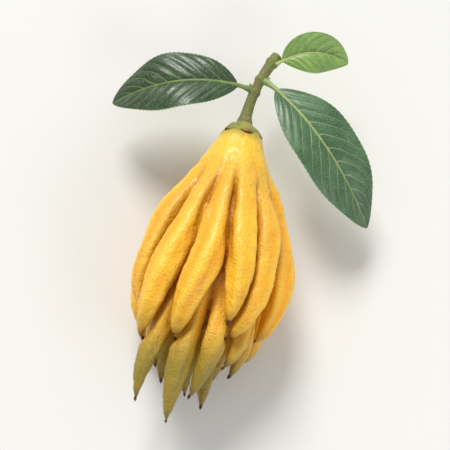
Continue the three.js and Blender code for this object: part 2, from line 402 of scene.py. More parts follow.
# %% Curves
def bezier(points, t):
    """A cubic curve through space or a plane, at the shares t."""
    a, b, c, d = (np.array(point, float) for point in points)
    t = np.asarray(t, float)[:, None]
    return a * (1 - t) ** 3 + 3 * b * t * (1 - t) ** 2 + 3 * c * t * t * (1 - t) + d * t**3


def evenly(points, shares):
    """Points along a polyline at shares of its length."""
    steps = np.linalg.norm(np.diff(points, axis=0), axis=1)
    length = np.concatenate([[0], np.cumsum(steps)])
    return np.stack([np.interp(shares * length[-1], length, column) for column in points.T], axis=1)


def unit(vectors):
    """Vectors made one long."""
    return vectors / np.maximum(np.linalg.norm(vectors, axis=-1, keepdims=True), 1e-9)


print("half-way along a line:", evenly(np.array([(0.0, 0.0), (1.0, 0.0), (1.0, 3.0)]), np.array([0.5]))[0])

# %% [markdown]
# ## The fingers' paths
# A finger's profile is a curve in the plane of its direction: down the axis and out from it. The turn then
# carries it round the axis, and a slow waver keeps two fingers from being alike. Below, the fruit lies on
# the surface, so no finger's middle comes nearer to it than the finger's own radius, less the depth to
# which its soft flesh is pressed flat.

# %% The fingers' paths
OUTER_RING = {"root_radius": 4.0, "point": 0.5}
INNER_RING = {"root_radius": 6.0, "point": 0.72}
PROFILE = {"lift": 0.3, "rise": 0.45, "crest": 0.72, "bulge": 1.5}  # shares of the length and of the belly
FLATTENING = 0.9
UNDERSIDE_POWER = 0.6
WAVE_DEG = 2.5
WAVES = 1.2
TURN_POWER = 4  # a finger turns little at first and mostly near its tip
REST_DEPTH = 1.0
STATIONS = 40
STATION_CROWDING = 1.5  # above 1, the stations stand closer towards the tip
FINE_STATIONS = 200
ROOT_GIRTH = 0.6  # a finger's radius at its root, as a share of its full radius
SWELL_LEAN = 0.75  # below 1, a finger is thickest nearer to its root than to its tip
TIP_BLUNTNESS = 6
PRESSED_TIP = 0.97  # beyond this share, a finger comes no nearer to the surface than it may here


def taper(t, point):
    """A finger's radius as a share of its full radius."""
    swell = ROOT_GIRTH + (1 - ROOT_GIRTH) * np.sin(np.pi * t**SWELL_LEAN)
    return swell * np.clip(1 - t**TIP_BLUNTNESS, 0, 1) ** point


def finger_path(row, ring, number):
    """A finger's middle line, from its root to its tip."""
    at, swing, root, reach, belly, tip, girth = row
    t = np.linspace(0, 1, FINE_STATIONS)
    length = reach - root
    lifted = (root + PROFILE["lift"] * length, PROFILE["rise"] * belly)
    crest = (root + PROFILE["crest"] * length, PROFILE["bulge"] * belly)
    down, out = bezier([(root, ring["root_radius"]), lifted, crest, (reach, tip)], t).T
    waver = WAVE_DEG * t * np.sin(2 * np.pi * (WAVES * t + number * GOLDEN))
    turn = np.radians(at + swing * t**TURN_POWER + waver)
    rise = np.where(np.sin(turn) < 0, -(np.abs(np.sin(turn)) ** UNDERSIDE_POWER), np.sin(turn))
    lowest = SURFACE + girth * taper(np.minimum(t, PRESSED_TIP), ring["point"]) - REST_DEPTH
    return np.stack([out * np.cos(turn), -down, np.maximum(FLATTENING * out * rise, lowest)], axis=1)


def make_finger(row, ring, number):
    """A finger's stations, closer towards the tip: middles, radii, and two directions across the finger."""
    shares = 1 - (1 - np.arange(STATIONS + 1) / STATIONS) ** STATION_CROWDING
    middles = evenly(finger_path(row, ring, number), shares)
    along = unit(np.gradient(middles, axis=0))
    side = unit(np.cross(middles * (1, 0, 1), along))
    return {
        "number": number, "middles": middles, "radii": row[-1] * taper(shares, ring["point"]),
        "shares": shares, "along": along, "side": side, "outward": np.cross(along, side),
    }


fingers = [make_finger(row, OUTER_RING, number) for number, row in enumerate(OUTER_FINGERS)]
fingers += [make_finger(row, INNER_RING, number) for number, row in enumerate(INNER_FINGERS)]
print("the longest finger ends", round(max(-f["middles"][-1][1] for f in fingers)), "mm down the axis")

# %% [markdown]
# ## Distances that melt
# Tubes that are only pushed into each other meet in hard creases, and a real fruit does not: its fingers flow
# out of the shoulder and then split into deep, narrow clefts. A distance field gives both. Each finger says,
# at every point of a grid, how far away its surface is, and a soft minimum melts neighbours together. The
# faint ridges that run down a finger are part of its radius. Metaballs could melt but not cut, and a sculpt
# would not repeat.

# %% Distances that melt
RIDGES = 5
RIDGE_SHARE = 0.07
RIDGE_TWIST = 2.2
LUMP_SHARE = 0.08
LUMPS = 2.7
LUMP_PHASE = 0.37
SMOOTH_ROOT = 0.25  # the share of a finger over which ridges and lumps grow in
OWN_PHASE = 2.4  # keeps one finger's ridges and lumps out of step with the next one's


def smooth(value, low, high):
    """0 below low, 1 above high, smooth between."""
    share = np.clip((value - low) / (high - low), 0, 1)
    return share * share * (3 - 2 * share)


def melt(first, second, width):
    """Joins two distance fields, filling the corner between them over the given width."""
    near = np.maximum(width - np.abs(first - second), 0) / width
    return np.minimum(first, second) - near * near * width / 4


def ridge_wave(number, share, angle):
    """1 on a finger's ridges and -1 between them."""
    return np.cos(RIDGES * angle + number * OWN_PHASE + RIDGE_TWIST * share)


def ridged(number, share, angle):
    """How much thicker than its taper a finger is, at a share of its length and an angle round it."""
    phase = number * OWN_PHASE
    lumps = np.sin(2 * np.pi * (LUMPS * share + LUMP_PHASE * phase)) * np.cos(angle + phase)
    ridges = ridge_wave(number, share, angle)
    return (RIDGE_SHARE * ridges + LUMP_SHARE * lumps) * smooth(share, 0.0, SMOOTH_ROOT)


print("two surfaces 1 mm away melt to", melt(1.0, 1.0, 4.0), "mm")

# %% [markdown]
# ## One finger's field
# Asking every grid point about every finger would take minutes. A finger only matters near itself, so it is
# taken as a chain of short segments, and each segment only fills the small block of the grid round it.

# %% One finger's field
STEP = 0.9  # grid step
REACH = 9.0  # how far from its surface a finger still counts
FAR = 1e3
SWELLING_ROOM = 1.1  # leaves room for ridges and lumps in the block round a segment


def block_round(low, high, axes):
    """The part of the grid inside a box: its slices, and its three coordinates."""
    block = tuple(slice(*np.searchsorted(axis, (low[k], high[k]))) for k, axis in enumerate(axes))
    inside = [axis[part] for axis, part in zip(axes, block)]
    return block, np.meshgrid(*inside, indexing="ij", sparse=True)


def spread_segment(field, finger, i, axes):
    """Puts one segment of a finger into its distance field."""
    a, b = finger["middles"][i : i + 2]
    thin, thick = finger["radii"][i], finger["radii"][i + 1]
    reach = max(thin, thick) * SWELLING_ROOM + REACH
    block, (x, y, z) = block_round(np.minimum(a, b) - reach, np.maximum(a, b) + reach, axes)
    step = b - a
    share = ((x - a[0]) * step[0] + (y - a[1]) * step[1] + (z - a[2]) * step[2]) / (step @ step)
    share = np.clip(share, 0, 1)
    off = (x - a[0] - share * step[0], y - a[1] - share * step[1], z - a[2] - share * step[2])
    aside = sum(part * way for part, way in zip(off, finger["side"][i]))
    outward = sum(part * way for part, way in zip(off, finger["outward"][i]))
    along = finger["shares"][i] + share * (finger["shares"][i + 1] - finger["shares"][i])
    swelling = ridged(finger["number"], along, np.arctan2(aside, outward))
    radius = (thin + share * (thick - thin)) * (1 + swelling)
    away = np.sqrt(sum(part * part for part in off)) - radius
    field[block] = np.minimum(field[block], away)


def spread_finger(finger, axes):
    """The finger's distance field on the grid."""
    field = np.full(tuple(len(axis) for axis in axes), FAR, np.float32)
    for i in range(STATIONS):
        spread_segment(field, finger, i, axes)
    return field


print("grid step", STEP, "mm")

# %% [markdown]
# ## The whole fruit's field
# Near the stem the fingers melt together over several millimetres. Further down the place half-way between
# the two nearest fingers is cut away, which opens the clefts. The heart that carries the inner fingers is a
# turned shape, and the surface below presses a soft-edged flat into everything.

# %% The whole fruit's field
GRID_LOW = np.array([-42.0, -150.0, SURFACE - 3])
GRID_HIGH = np.array([44.0, 4.0, 38.0])
FINGER_MELT = {"ends": (8, 34), "first": 4.2, "last": 0.9}  # how softly fingers join, down the axis
HEART_MELT = {"ends": (15, 40), "first": 5.0, "last": 1.5}
CLEFT_WIDTH = 2.2
CLEFTS_OPEN = (14, 46)  # where down the axis the clefts open
CLEFTS_OUTSIDE = (17, 23)  # clefts are shut nearer to the axis than this, and open further out
FREE_TIPS = (86, 98)  # from here on down, fingers are free all round
CLEFT_MARGIN = 0.3  # keeps clefts shut where fingers are as one
CLEFT_ROUNDING = 1.2
FLAT_ROUNDING = 0.8
STEEPEST = 2.0
HEART = np.array([  # distance down the axis, radius
    (0, 0), (0.8, 5.2), (3.5, 8.2), (9, 10.4), (18, 13), (30, 17.5),
    (45, 23), (62, 24), (80, 21), (93, 13), (101, 0),
])


def turning(value, ends, first, last):
    """The first amount below two ends, the last above them, and smooth between."""
    return first + (last - first) * smooth(value, *ends)


def heart_field(down, from_axis):
    """The heart's distance field, which is steep where its outline is."""
    outline = np.interp(down, HEART[:, 0], HEART[:, 1])
    slope = np.interp(down, HEART[:, 0], np.gradient(HEART[:, 1], HEART[:, 0]))
    field = (from_axis - outline) / np.sqrt(1 + np.minimum(slope**2, STEEPEST**2))
    return np.where((down < 0) | (down > HEART[-1, 0]), np.maximum(field, 1.0), field)


def join_fingers(axes, width):
    """The fingers melted together, and the fields of the nearest and the second nearest finger."""
    body = np.full(tuple(len(axis) for axis in axes), FAR, np.float32)
    nearest, second = body.copy(), body.copy()
    for finger in fingers:
        field = spread_finger(finger, axes)
        body = melt(body, field, width)
        second = np.minimum(second, np.maximum(nearest, field))
        nearest = np.minimum(nearest, field)
    return body, nearest, second


def make_field():
    """The whole fruit: fingers melted together, split by clefts, joined to the heart and pressed flat."""
    axes = [np.arange(low, high, STEP, dtype=np.float32) for low, high in zip(GRID_LOW, GRID_HIGH)]
    x, y, z = np.meshgrid(*axes, indexing="ij", sparse=True)
    down = -y
    from_axis = np.sqrt(x * x + (z / FLATTENING) ** 2)
    body, nearest, second = join_fingers(axes, turning(down, **FINGER_MELT))
    free = np.maximum(smooth(from_axis, *CLEFTS_OUTSIDE), smooth(down, *FREE_TIPS))
    opening = CLEFT_WIDTH * smooth(down, *CLEFTS_OPEN) * free - CLEFT_MARGIN
    body = -melt(-body, -(opening - (second - nearest)) / 2, CLEFT_ROUNDING)
    body = melt(body, heart_field(down, from_axis), turning(down, **HEART_MELT))
    return -melt(-body, -(SURFACE - z), FLAT_ROUNDING), axes


field, axes = make_field()
print("grid", field.shape, "with", int((field < 0).sum()), "points inside")

# %% [markdown]
# ## From field to skin
# The skin is where the field is zero. Every grid cell that the surface crosses gets one vertex, at the
# average of its crossings, and every crossed grid edge gets one face between the four cells round it. This is
# called surface nets. It gives even, square faces that suit a smooth fruit, and far fewer slivers than
# marching cubes.


# %% From field to skin
def crossed_edges(field, axis):
    """Grid edges along one axis that the surface crosses: where they start, where crossed, and which way."""
    near = np.take(field, range(field.shape[axis] - 1), axis)
    far = np.take(field, range(1, field.shape[axis]), axis)
    edges = np.argwhere((near < 0) != (far < 0))
    start, stop = near[tuple(edges.T)], far[tuple(edges.T)]
    crossing = edges.astype(float)
    crossing[:, axis] += start / (start - stop)
    return edges, crossing, start > 0


def skin_of(field, axes):
    """Vertices and four-sided faces of the surface where the field is zero."""
    cells = tuple(n - 1 for n in field.shape)
    count = int(np.prod(cells))
    hits, total, faces = np.zeros(count), np.zeros((count, 3)), []
    for axis in range(3):
        edges, crossing, inwards = crossed_edges(field, axis)
        ring = []
        for du, dv in ((-1, -1), (0, -1), (0, 0), (-1, 0)):
            cell = edges.copy()
            cell[:, (axis + 1) % 3] += du
            cell[:, (axis + 2) % 3] += dv
            ring.append(np.ravel_multi_index(cell.T, cells))
            hits += np.bincount(ring[-1], minlength=count)
            for k in range(3):
                total[:, k] += np.bincount(ring[-1], crossing[:, k], minlength=count)
        ring = np.stack(ring, axis=1)
        ring[inwards] = ring[inwards][:, ::-1]
        faces.append(ring)
    used = hits > 0
    renumber = np.cumsum(used) - 1
    vertices = total[used] / hits[used, None] * STEP + [axis[0] for axis in axes]
    return vertices, renumber[np.concatenate(faces)]


all_vertices, all_faces = skin_of(field, axes)
print("nets have", len(all_vertices), "vertices and", len(all_faces), "faces")

# %% [markdown]
# ## The outer shell
# Small hollows that were shut in between the fingers would never be seen, and they are left out. Every
# vertex starts with its own number, and faces pass the lowest number on until each shell has only one.


# %% The outer shell
def outer_shell(vertices, faces):
    """Keeps only the shell that holds the most vertices."""
    label = np.arange(len(vertices))
    while True:
        lowest = label.copy()
        corner = label[faces].min(axis=1)
        for k in range(4):
            np.minimum.at(lowest, faces[:, k], corner)
        lowest = lowest[lowest]
        if (lowest == label).all():
            break
        label = lowest
    keep = label == np.bincount(label).argmax()
    renumber = np.cumsum(keep) - 1
    return vertices[keep], renumber[faces[keep[faces[:, 0]]]]


skin_vertices, skin_faces = outer_shell(all_vertices, all_faces)
print("skin has", len(skin_vertices), "vertices and", len(skin_faces), "faces")

# %% [markdown]
# ## What each place on the skin knows
# The peel's colours, painted shade and painted highlights depend on place: how deep between two fingers, how
# near a fingertip, on a ridge or between ridges. Each vertex looks up its two nearest fingers once. How much
# nearer the first is than the second tells how deep between the two fingers the vertex lies.


# %% The nearest finger
def nearest_station(vertices, finger):
    """How far each vertex is from a finger, and the number of the finger's station that it is nearest to."""
    away = [
        np.linalg.norm(vertices - middle, axis=1) - radius
        for middle, radius in zip(finger["middles"], finger["radii"])
    ]
    station = np.argmin(away, axis=0)
    return np.min(away, axis=0), station


def nearest_finger(vertices):
    """Each vertex's finger, the share along it, the angle round it, and how much further the next one is."""
    best = np.full(len(vertices), FAR)
    second, share, angle = best.copy(), np.zeros(len(vertices)), np.zeros(len(vertices))
    owner = np.zeros(len(vertices), int)
    for k, finger in enumerate(fingers):
        own, station = nearest_station(vertices, finger)
        second = np.minimum(second, np.maximum(best, own))
        nearer = own < best
        best[nearer] = own[nearer]
        owner[nearer] = k
        station = station[nearer]
        share[nearer] = finger["shares"][station]
        off = vertices[nearer] - finger["middles"][station]
        side = np.einsum("ij,ij->i", off, finger["side"][station])
        outward = np.einsum("ij,ij->i", off, finger["outward"][station])
        angle[nearer] = np.arctan2(side, outward)
    return owner, share, angle, second - best


owner, share, angle, spare = nearest_finger(skin_vertices)
print("fingers own from", np.bincount(owner).min(), "to", np.bincount(owner).max(), "vertices")

# %% [markdown]
# ## Numbers for the finish
# From what was looked up come seven numbers between 0 and 1: one for each layer of the peel's colours, and
# each finger's own tone. They go into the mesh as attributes, which stay with the vertices through every
# later step.

# %% Numbers for the finish
# how fast the painted shade in the clefts fades as the second finger lies further away
CLEFT_SHADE_FADE = 2.0
TIP_LENGTH = 7
LONG_FINGER = 114  # fingers that end further down than this have darker tips
SHORT_TIP = 0.45
ZONES = {  # where down the axis a zone begins to change and where it has changed
    "crown": (1, 9), "shoulder": (8, 46), "cleft_shade": (12, 40), "fingers": (15, 45), "lower": (90, 122),
}


def places_on(vertices, owner, share, angle, spare):
    """Numbers from 0 to 1 for every vertex, by name."""
    down = -vertices[:, 1]
    ends = np.array([-finger["middles"][-1][1] for finger in fingers])[owner]
    numbers = np.array([finger["number"] for finger in fingers])[owner]
    tones = np.array([math.modf(k * GOLDEN)[0] for k in range(len(fingers))])[owner]
    past = {zone: smooth(down, *stretch) for zone, stretch in ZONES.items()}
    return {
        # painted shade, strongest where two fingers lie close together
        "cleft_shade": np.exp(-spare / CLEFT_SHADE_FADE) * past["cleft_shade"],
        "tip": smooth(down, ends - TIP_LENGTH, ends) * np.where(ends > LONG_FINGER, 1.0, SHORT_TIP),
        # olive colour with painted shade, growing in towards the lowest fingers
        "lower": past["lower"],
        # painted highlight: full on the ridges, none between them
        "ridge_highlight": 0.5 + 0.5 * ridge_wave(numbers, share, angle),
        # painted highlight over the shoulder, fading out down the axis
        "shoulder": 1 - past["shoulder"],
        "crown": 1 - past["crown"],
        "tone": tones * past["fingers"] + 0.5 * (1 - past["fingers"]),
    }


def mesh_object(name, vertices, faces, material=None, attributes=None):
    """A mesh object made of vertices in millimetres from the stem end."""
    mesh = bpy.data.meshes.new(name)
    mesh.from_pydata((np.asarray(vertices, float) * MM + STEM_END).tolist(), [], np.asarray(faces).tolist())
    for label, values in (attributes or {}).items():
        kind = "FLOAT" if np.ndim(values) == 1 else "FLOAT_VECTOR"
        layer = mesh.attributes.new(label, kind, "POINT")
        layer.data.foreach_set("value" if kind == "FLOAT" else "vector", np.ravel(values).astype(np.float32))
    if material:
        mesh.materials.append(material)
    mesh.shade_smooth()
    piece = bpy.data.objects.new(name, mesh)
    bpy.context.scene.collection.objects.link(piece)
    return piece


places = places_on(skin_vertices, owner, share, angle, spare)
raw_fruit = mesh_object("raw_fruit", skin_vertices, skin_faces, attributes=places)
print("places:", ", ".join(f"{label} {values.mean():.2f}" for label, values in places.items()))

# %% [markdown]
# ## Relief in Geometry Nodes
# The skin still lacks small forms: the net's faint terraces have to go, and real peel has soft lumps, and
# wrinkles that run down each finger. A Geometry Nodes tree is right for this, because it works on every
# vertex by a rule, its sizes stay named inputs, and its noise has a fixed seed. A tree is run once for each
# piece that it makes, and the result is kept as a plain mesh.


# %% Helpers for Geometry Nodes
def run_tree(name, source, tree, values):
    """Runs a Geometry Nodes tree on an object and keeps the result as a plain mesh with the given name."""
    modifier = source.modifiers.new(tree.name, "NODES")
    modifier.node_group = tree
    for item in tree.interface.items_tree:
        if item.in_out == "INPUT" and item.name in values:
            modifier[item.identifier] = values[item.name]
    graph = bpy.context.evaluated_depsgraph_get()
    mesh = bpy.data.meshes.new_from_object(source.evaluated_get(graph))
    mesh.name = name
    source.modifiers.clear()
    bpy.data.objects.remove(source)
    piece = bpy.data.objects.new(name, mesh)
    bpy.context.scene.collection.objects.link(piece)
    return piece


def place_in_grain(tree, share):
    """Each vertex's place with its Y part shortened, so that a pattern on it is drawn out along the fruit."""
    place = add(tree, "GeometryNodeInputPosition").outputs[0]
    return add(tree, "ShaderNodeVectorMath", {0: place, 1: (1, share, 1)}, operation="MULTIPLY").outputs[0]


def seeded_noise(tree, place, seed, size, detail=2.0):
    """Noise with waves of a given size in metres, which changes with the seed."""
    inputs = {"Vector": place, "W": seed, "Scale": maths(tree, "DIVIDE", 1.0, size), "Detail": detail}
    return add(tree, "ShaderNodeTexNoise", inputs, noise_dimensions="4D").outputs[0]


def roughened(tree, geometry, pattern, height):
    """Moves each vertex along its normal, by the height times a pattern that lies round a half."""
    lift = maths(tree, "MULTIPLY", maths(tree, "SUBTRACT", pattern, 0.5), height)
    normal = add(tree, "GeometryNodeInputNormal").outputs[0]
    offset = add(tree, "ShaderNodeVectorMath", {0: normal, "Scale": lift}, operation="SCALE").outputs[0]
    return add(tree, "GeometryNodeSetPosition", {"Geometry": geometry, "Offset": offset}).outputs[0]


def coated(tree, geometry, material):
    """Shades a geometry smoothly, gives it a material and makes its copies real."""
    shaded = add(tree, "GeometryNodeSetShadeSmooth", {"Geometry": geometry}).outputs[0]
    named = add(tree, "GeometryNodeSetMaterial", {"Geometry": shaded, "Material": material}).outputs[0]
    return add(tree, "GeometryNodeRealizeInstances", {"Geometry": named}).outputs[0]


print("trees can be run, roughened and coated")

# %% [markdown]
# ## The peel's relief
# The tree blurs the positions first, then adds lumps and long wrinkles along the normals. Last, whatever
# would be under the surface that the fruit lies on is lifted back to it.

# %% The peel's relief
WRINKLE_SHARE = 0.16  # a wrinkle's width as a share of its length


def make_relief_tree():
    """Blurs a skin, then raises lumps and long wrinkles on it."""
    tree, enter, leave = new_group(
        "GeometryNodeTree",
        "peel_relief",
        {
            "Geometry": "Geometry", "Blur Steps": 2, "Lump Size": 0.006, "Lump Height": 0.0006,
            "Wrinkle Size": 0.003, "Wrinkle Height": 0.0004, "Seed": 0.0, "Material": "Material",
        },
        {"Geometry": "Geometry"},
    )
    blur = add(tree, "GeometryNodeBlurAttribute", {
        "Value": place_in_grain(tree, 1), "Iterations": enter["Blur Steps"],
    }, data_type="FLOAT_VECTOR").outputs[0]
    skin = add(tree, "GeometryNodeSetPosition", {"Geometry": enter["Geometry"], "Position": blur}).outputs[0]
    lumps = seeded_noise(tree, place_in_grain(tree, 1), enter["Seed"], enter["Lump Size"])
    skin = roughened(tree, skin, lumps, enter["Lump Height"])
    drawn_out = place_in_grain(tree, WRINKLE_SHARE)
    wrinkles = seeded_noise(tree, drawn_out, enter["Seed"], enter["Wrinkle Size"])
    skin = roughened(tree, skin, wrinkles, enter["Wrinkle Height"])
    parts = add(tree, "ShaderNodeSeparateXYZ", {0: place_in_grain(tree, 1)}).outputs
    above = maths(tree, "MAXIMUM", parts[2], 0.0)
    flat = add(tree, "ShaderNodeCombineXYZ", {0: parts[0], 1: parts[1], 2: above}).outputs[0]
    rested = add(tree, "GeometryNodeSetPosition", {"Geometry": skin, "Position": flat}).outputs[0]
    tree.links.new(coated(tree, rested, enter["Material"]), leave[0])
    return tree


fruit = run_tree("citron_peel", raw_fruit, make_relief_tree(), {
    "Blur Steps": 2, "Lump Size": 0.0065, "Lump Height": 0.0017, "Wrinkle Size": 0.0034,
    "Wrinkle Height": 0.0012, "Seed": 4.0, "Material": peel,
})
lowest = min(vertex.co.z for vertex in fruit.data.vertices)
print("fruit has", len(fruit.data.polygons), "faces, lowest point", round(lowest, 5))

# %% [markdown]
# ## Grains on points
# Every finger ends in a small dry nib, and in the corners of the leaves sit buds. Both are pointed grains,
# so one Geometry Nodes tree puts a grain on each point of a little cloud of points. The points carry a
# direction, which turns the grain, and a size.


# %% Grains on points
def pointed_grain(tree, width, length):
    """A ball drawn out to a blunt point, as wide and as long as the two inputs say."""
    ball = add(tree, "GeometryNodeMeshUVSphere", {"Segments": 14, "Rings": 12, "Radius": 0.5}).outputs["Mesh"]
    parts = add(tree, "ShaderNodeSeparateXYZ", {0: place_in_grain(tree, 1)}).outputs
    slim = eased(tree, parts[2], -0.1, 0.52, 1.0, 0.25)
    point = add(tree, "ShaderNodeCombineXYZ", {
        0: maths(tree, "MULTIPLY", parts[0], slim), 1: maths(tree, "MULTIPLY", parts[1], slim), 2: parts[2],
    }).outputs[0]
    grain = add(tree, "GeometryNodeSetPosition", {"Geometry": ball, "Position": point}).outputs[0]
    size = add(tree, "ShaderNodeCombineXYZ", {0: width, 1: width, 2: length}).outputs[0]
    return add(tree, "GeometryNodeTransform", {"Geometry": grain, "Scale": size}).outputs[0]


def make_grain_tree():
    """Puts a pointed grain on every point, turned along the point's direction and scaled by its size."""
    tree, enter, leave = new_group(
        "GeometryNodeTree",
        "grains_on_points",
        {
            "Geometry": "Geometry", "Width": 0.001, "Length": 0.003, "Dent Size": 0.0007,
            "Dent Height": 0.0002, "Seed": 0.0, "Material": "Material",
        },
        {"Geometry": "Geometry"},
    )
    known = {"direction": "FLOAT_VECTOR", "size": "FLOAT"}
    direction, size = (
        add(tree, "GeometryNodeInputNamedAttribute", {"Name": label}, data_type=kind).outputs[0]
        for label, kind in known.items()
    )
    turn = add(tree, "FunctionNodeAlignRotationToVector", {"Vector": direction}, axis="Z").outputs[0]
    grains = add(tree, "GeometryNodeInstanceOnPoints", {
        "Points": enter["Geometry"], "Instance": pointed_grain(tree, enter["Width"], enter["Length"]),
        "Rotation": turn, "Scale": size,
    }).outputs[0]
    real = add(tree, "GeometryNodeRealizeInstances", {"Geometry": grains}).outputs[0]
    pattern = seeded_noise(tree, place_in_grain(tree, 1), enter["Seed"], enter["Dent Size"])
    rough = roughened(tree, real, pattern, enter["Dent Height"])
    tree.links.new(coated(tree, rough, enter["Material"]), leave[0])
    return tree


def points_object(name, points, directions, sizes):
    """Loose points that know a direction and a size."""
    known = {"direction": np.array(directions), "size": np.array(sizes)}
    return mesh_object(name, points, [], attributes=known)


grains = make_grain_tree()
print(grains.name, "has", len(grains.nodes), "nodes")

# %% [markdown]
# ## Fingertips
# The nib at a fingertip is what remains of the flower's style. It is brown, dry and rough, and has no shine
# at all beside the waxy peel. It sits a little inside the finger's end, as if it had grown out of it.

# %% Fingertips
NIB_WIDTH = 1.7
NIB_LENGTH = 3.2
NIB_SINK = 1.0  # how far the nib's middle lies inside the finger's end
NIB_SIZES = (0.75, 1.1)  # the smallest and the largest, as shares


def make_nib_finish():
    """Dry brown tissue, mottled and grainy."""
    material, tree, shader, where = make_material("dry_nib", 0.75)
    patches = mottled(tree, where, colour("6A4A2C"), "33241C", size=0.0012, amount=0.9)
    tree.links.new(patches["Color"], shader["Base Color"])
    grain = noise(tree, where, scale=2500.0, detail=3.0)
    tree.links.new(bumped(tree, grain, strength=0.6, distance=0.0002), shader["Normal"])
    return material


tip_directions = [finger["along"][-1] for finger in fingers]
tips = [finger["middles"][-1] - finger["along"][-1] * NIB_SINK for finger in fingers]
varied = np.array([math.modf(number * GOLDEN)[0] for number in range(len(fingers))])
tip_sizes = NIB_SIZES[0] + (NIB_SIZES[1] - NIB_SIZES[0]) * varied
tip_points = points_object("tip_points", tips, tip_directions, tip_sizes)
nibs = run_tree("finger_nibs", tip_points, grains, {
    "Width": NIB_WIDTH * MM, "Length": NIB_LENGTH * MM, "Dent Height": 0.0005, "Seed": 2.0,
    "Material": make_nib_finish(),
})
print("nibs have", len(nibs.data.polygons), "faces")

# %% [markdown]
# ## One lobe of the calyx
# The green star under the stalk is the flower's old calyx: a thick cup with five blunt lobes, pressed on the
# shoulder. It repeats five times round the axis, so only one lobe is drawn, as a strip of 72 degrees. The
# whole star could be lathed and bent by a formula, but one lobe with its own keel and curl is easier to draw.

# %% One lobe of the calyx
CALYX_LOBES = 5
CALYX_CUP = [  # radius, height above the stem end
    (0.01, 0.3), (2.5, 0.2), (4.8, 0.0), (6.6, -0.5), (8.0, -1.3), (8.8, -2.0), (9.3, -1.9), (9.2, -1.2),
    (8.4, -0.2), (7.4, 0.7), (6.3, 1.4), (5.3, 2.0), (4.7, 2.6), (4.2, 3.2), (3.6, 3.65), (2.4, 3.7),
    (0.01, 3.7),
]
CALYX_ROWS = 61
CALYX_COLUMNS = 29
KEEL_HEIGHT = 0.35
KEEL_WIDTH = 0.16
LOBE_CURL = 0.9
LOBE_SHARPNESS = 1.4
LOBE_REACH = 0.3  # how much further a lobe reaches than the rim between two lobes, as a share
LOBE_GAP = 0.2  # how much that rim is drawn in, as a share
RIM = (3.6, 8.0)  # distances from the axis between which the cup turns into lobes
CURLED = (6, 9)  # distances from the axis between which the lobes curl down
FLUTING = 0.2


def grid_mesh(points):
    """Vertices and four-sided faces of a grid of points."""
    rows, columns = points.shape[:2]
    index = np.arange(rows * columns).reshape(rows, columns)
    faces = np.stack([index[:-1, :-1], index[1:, :-1], index[1:, 1:], index[:-1, 1:]], axis=2)
    return points.reshape(-1, 3), faces.reshape(-1, 4)


def lobe_strip():
    """One lobe of the calyx, round +Y, as a strip whose two long edges meet the next lobes."""
    cup = evenly(np.array(CALYX_CUP), np.linspace(0, 1, CALYX_ROWS))
    reach = np.pi / CALYX_LOBES
    angles = np.linspace(-reach, reach, CALYX_COLUMNS)
    rim = smooth(cup[:, :1], *RIM)
    point = np.cos(CALYX_LOBES / 2 * angles)[None, :] ** LOBE_SHARPNESS
    radius = cup[:, :1] * (1 + rim * (LOBE_REACH * point - LOBE_GAP))
    keel = KEEL_HEIGHT * np.exp(-((angles / KEEL_WIDTH) ** 2)) * rim * smooth(cup[:, 1:], 0, 1.2)
    curl = -LOBE_CURL * rim * point * smooth(cup[:, :1], *CURLED)
    height = cup[:, 1:] + keel + curl + FLUTING * rim * np.cos(3 * CALYX_LOBES * angles)
    return grid_mesh(np.stack([radius * np.cos(angles), height, radius * np.sin(angles)], axis=2))


strip_vertices, strip_faces = lobe_strip()
print("a lobe has", len(strip_faces), "faces")

# %% [markdown]
# ## Repeating the lobe
# A Geometry Nodes tree puts copies of the strip at the same centre, turns each by its own number, welds their
# edges, and only then adds dents. Because the dents come last, the five lobes are alike but not the same.


# %% Repeating the lobe
def make_radial_tree():
    """Turns copies of a strip about +Y, welds them and roughens the skin."""
    tree, enter, leave = new_group(
        "GeometryNodeTree",
        "radial_repeat",
        {
            "Geometry": "Geometry", "Count": 5, "Centre": "Vector", "Weld": 0.00003, "Dent Size": 0.002,
            "Dent Height": 0.0003, "Seed": 0.0, "Material": "Material",
        },
        {"Geometry": "Geometry"},
    )
    line = add(tree, "GeometryNodeMeshLine", {
        "Count": enter["Count"], "Start Location": enter["Centre"], "Offset": (0, 0, 0),
    }).outputs[0]
    turn = maths(tree, "DIVIDE", 2 * math.pi, enter["Count"])
    index = add(tree, "GeometryNodeInputIndex").outputs[0]
    angle = add(tree, "ShaderNodeCombineXYZ", {1: maths(tree, "MULTIPLY", index, turn)}).outputs[0]
    copies = add(tree, "GeometryNodeInstanceOnPoints", {
        "Points": line, "Instance": enter["Geometry"], "Rotation": angle,
    }).outputs[0]
    real = add(tree, "GeometryNodeRealizeInstances", {"Geometry": copies}).outputs[0]
    near = {"Geometry": real, "Distance": enter["Weld"]}
    welded = add(tree, "GeometryNodeMergeByDistance", near).outputs[0]
    pattern = seeded_noise(tree, place_in_grain(tree, 1), enter["Seed"], enter["Dent Size"])
    dented = roughened(tree, welded, pattern, enter["Dent Height"])
    tree.links.new(coated(tree, dented, enter["Material"]), leave[0])
    return tree


radial = make_radial_tree()
print(radial.name, "has", len(radial.nodes), "nodes")

# %% [markdown]
# ## Green skins
# Calyx, buds and ribs have the same kind of skin: green, slightly waxy, with oil glands and fine fibres. So
# one function makes them all, and each is told only its colours. The calyx is old, and dries from its rim
# inwards, so its lobes have brown tips.

# %% Green skins
DRY_EDGE = (8.0, 10.2)  # distances from the axis between which the calyx turns brown


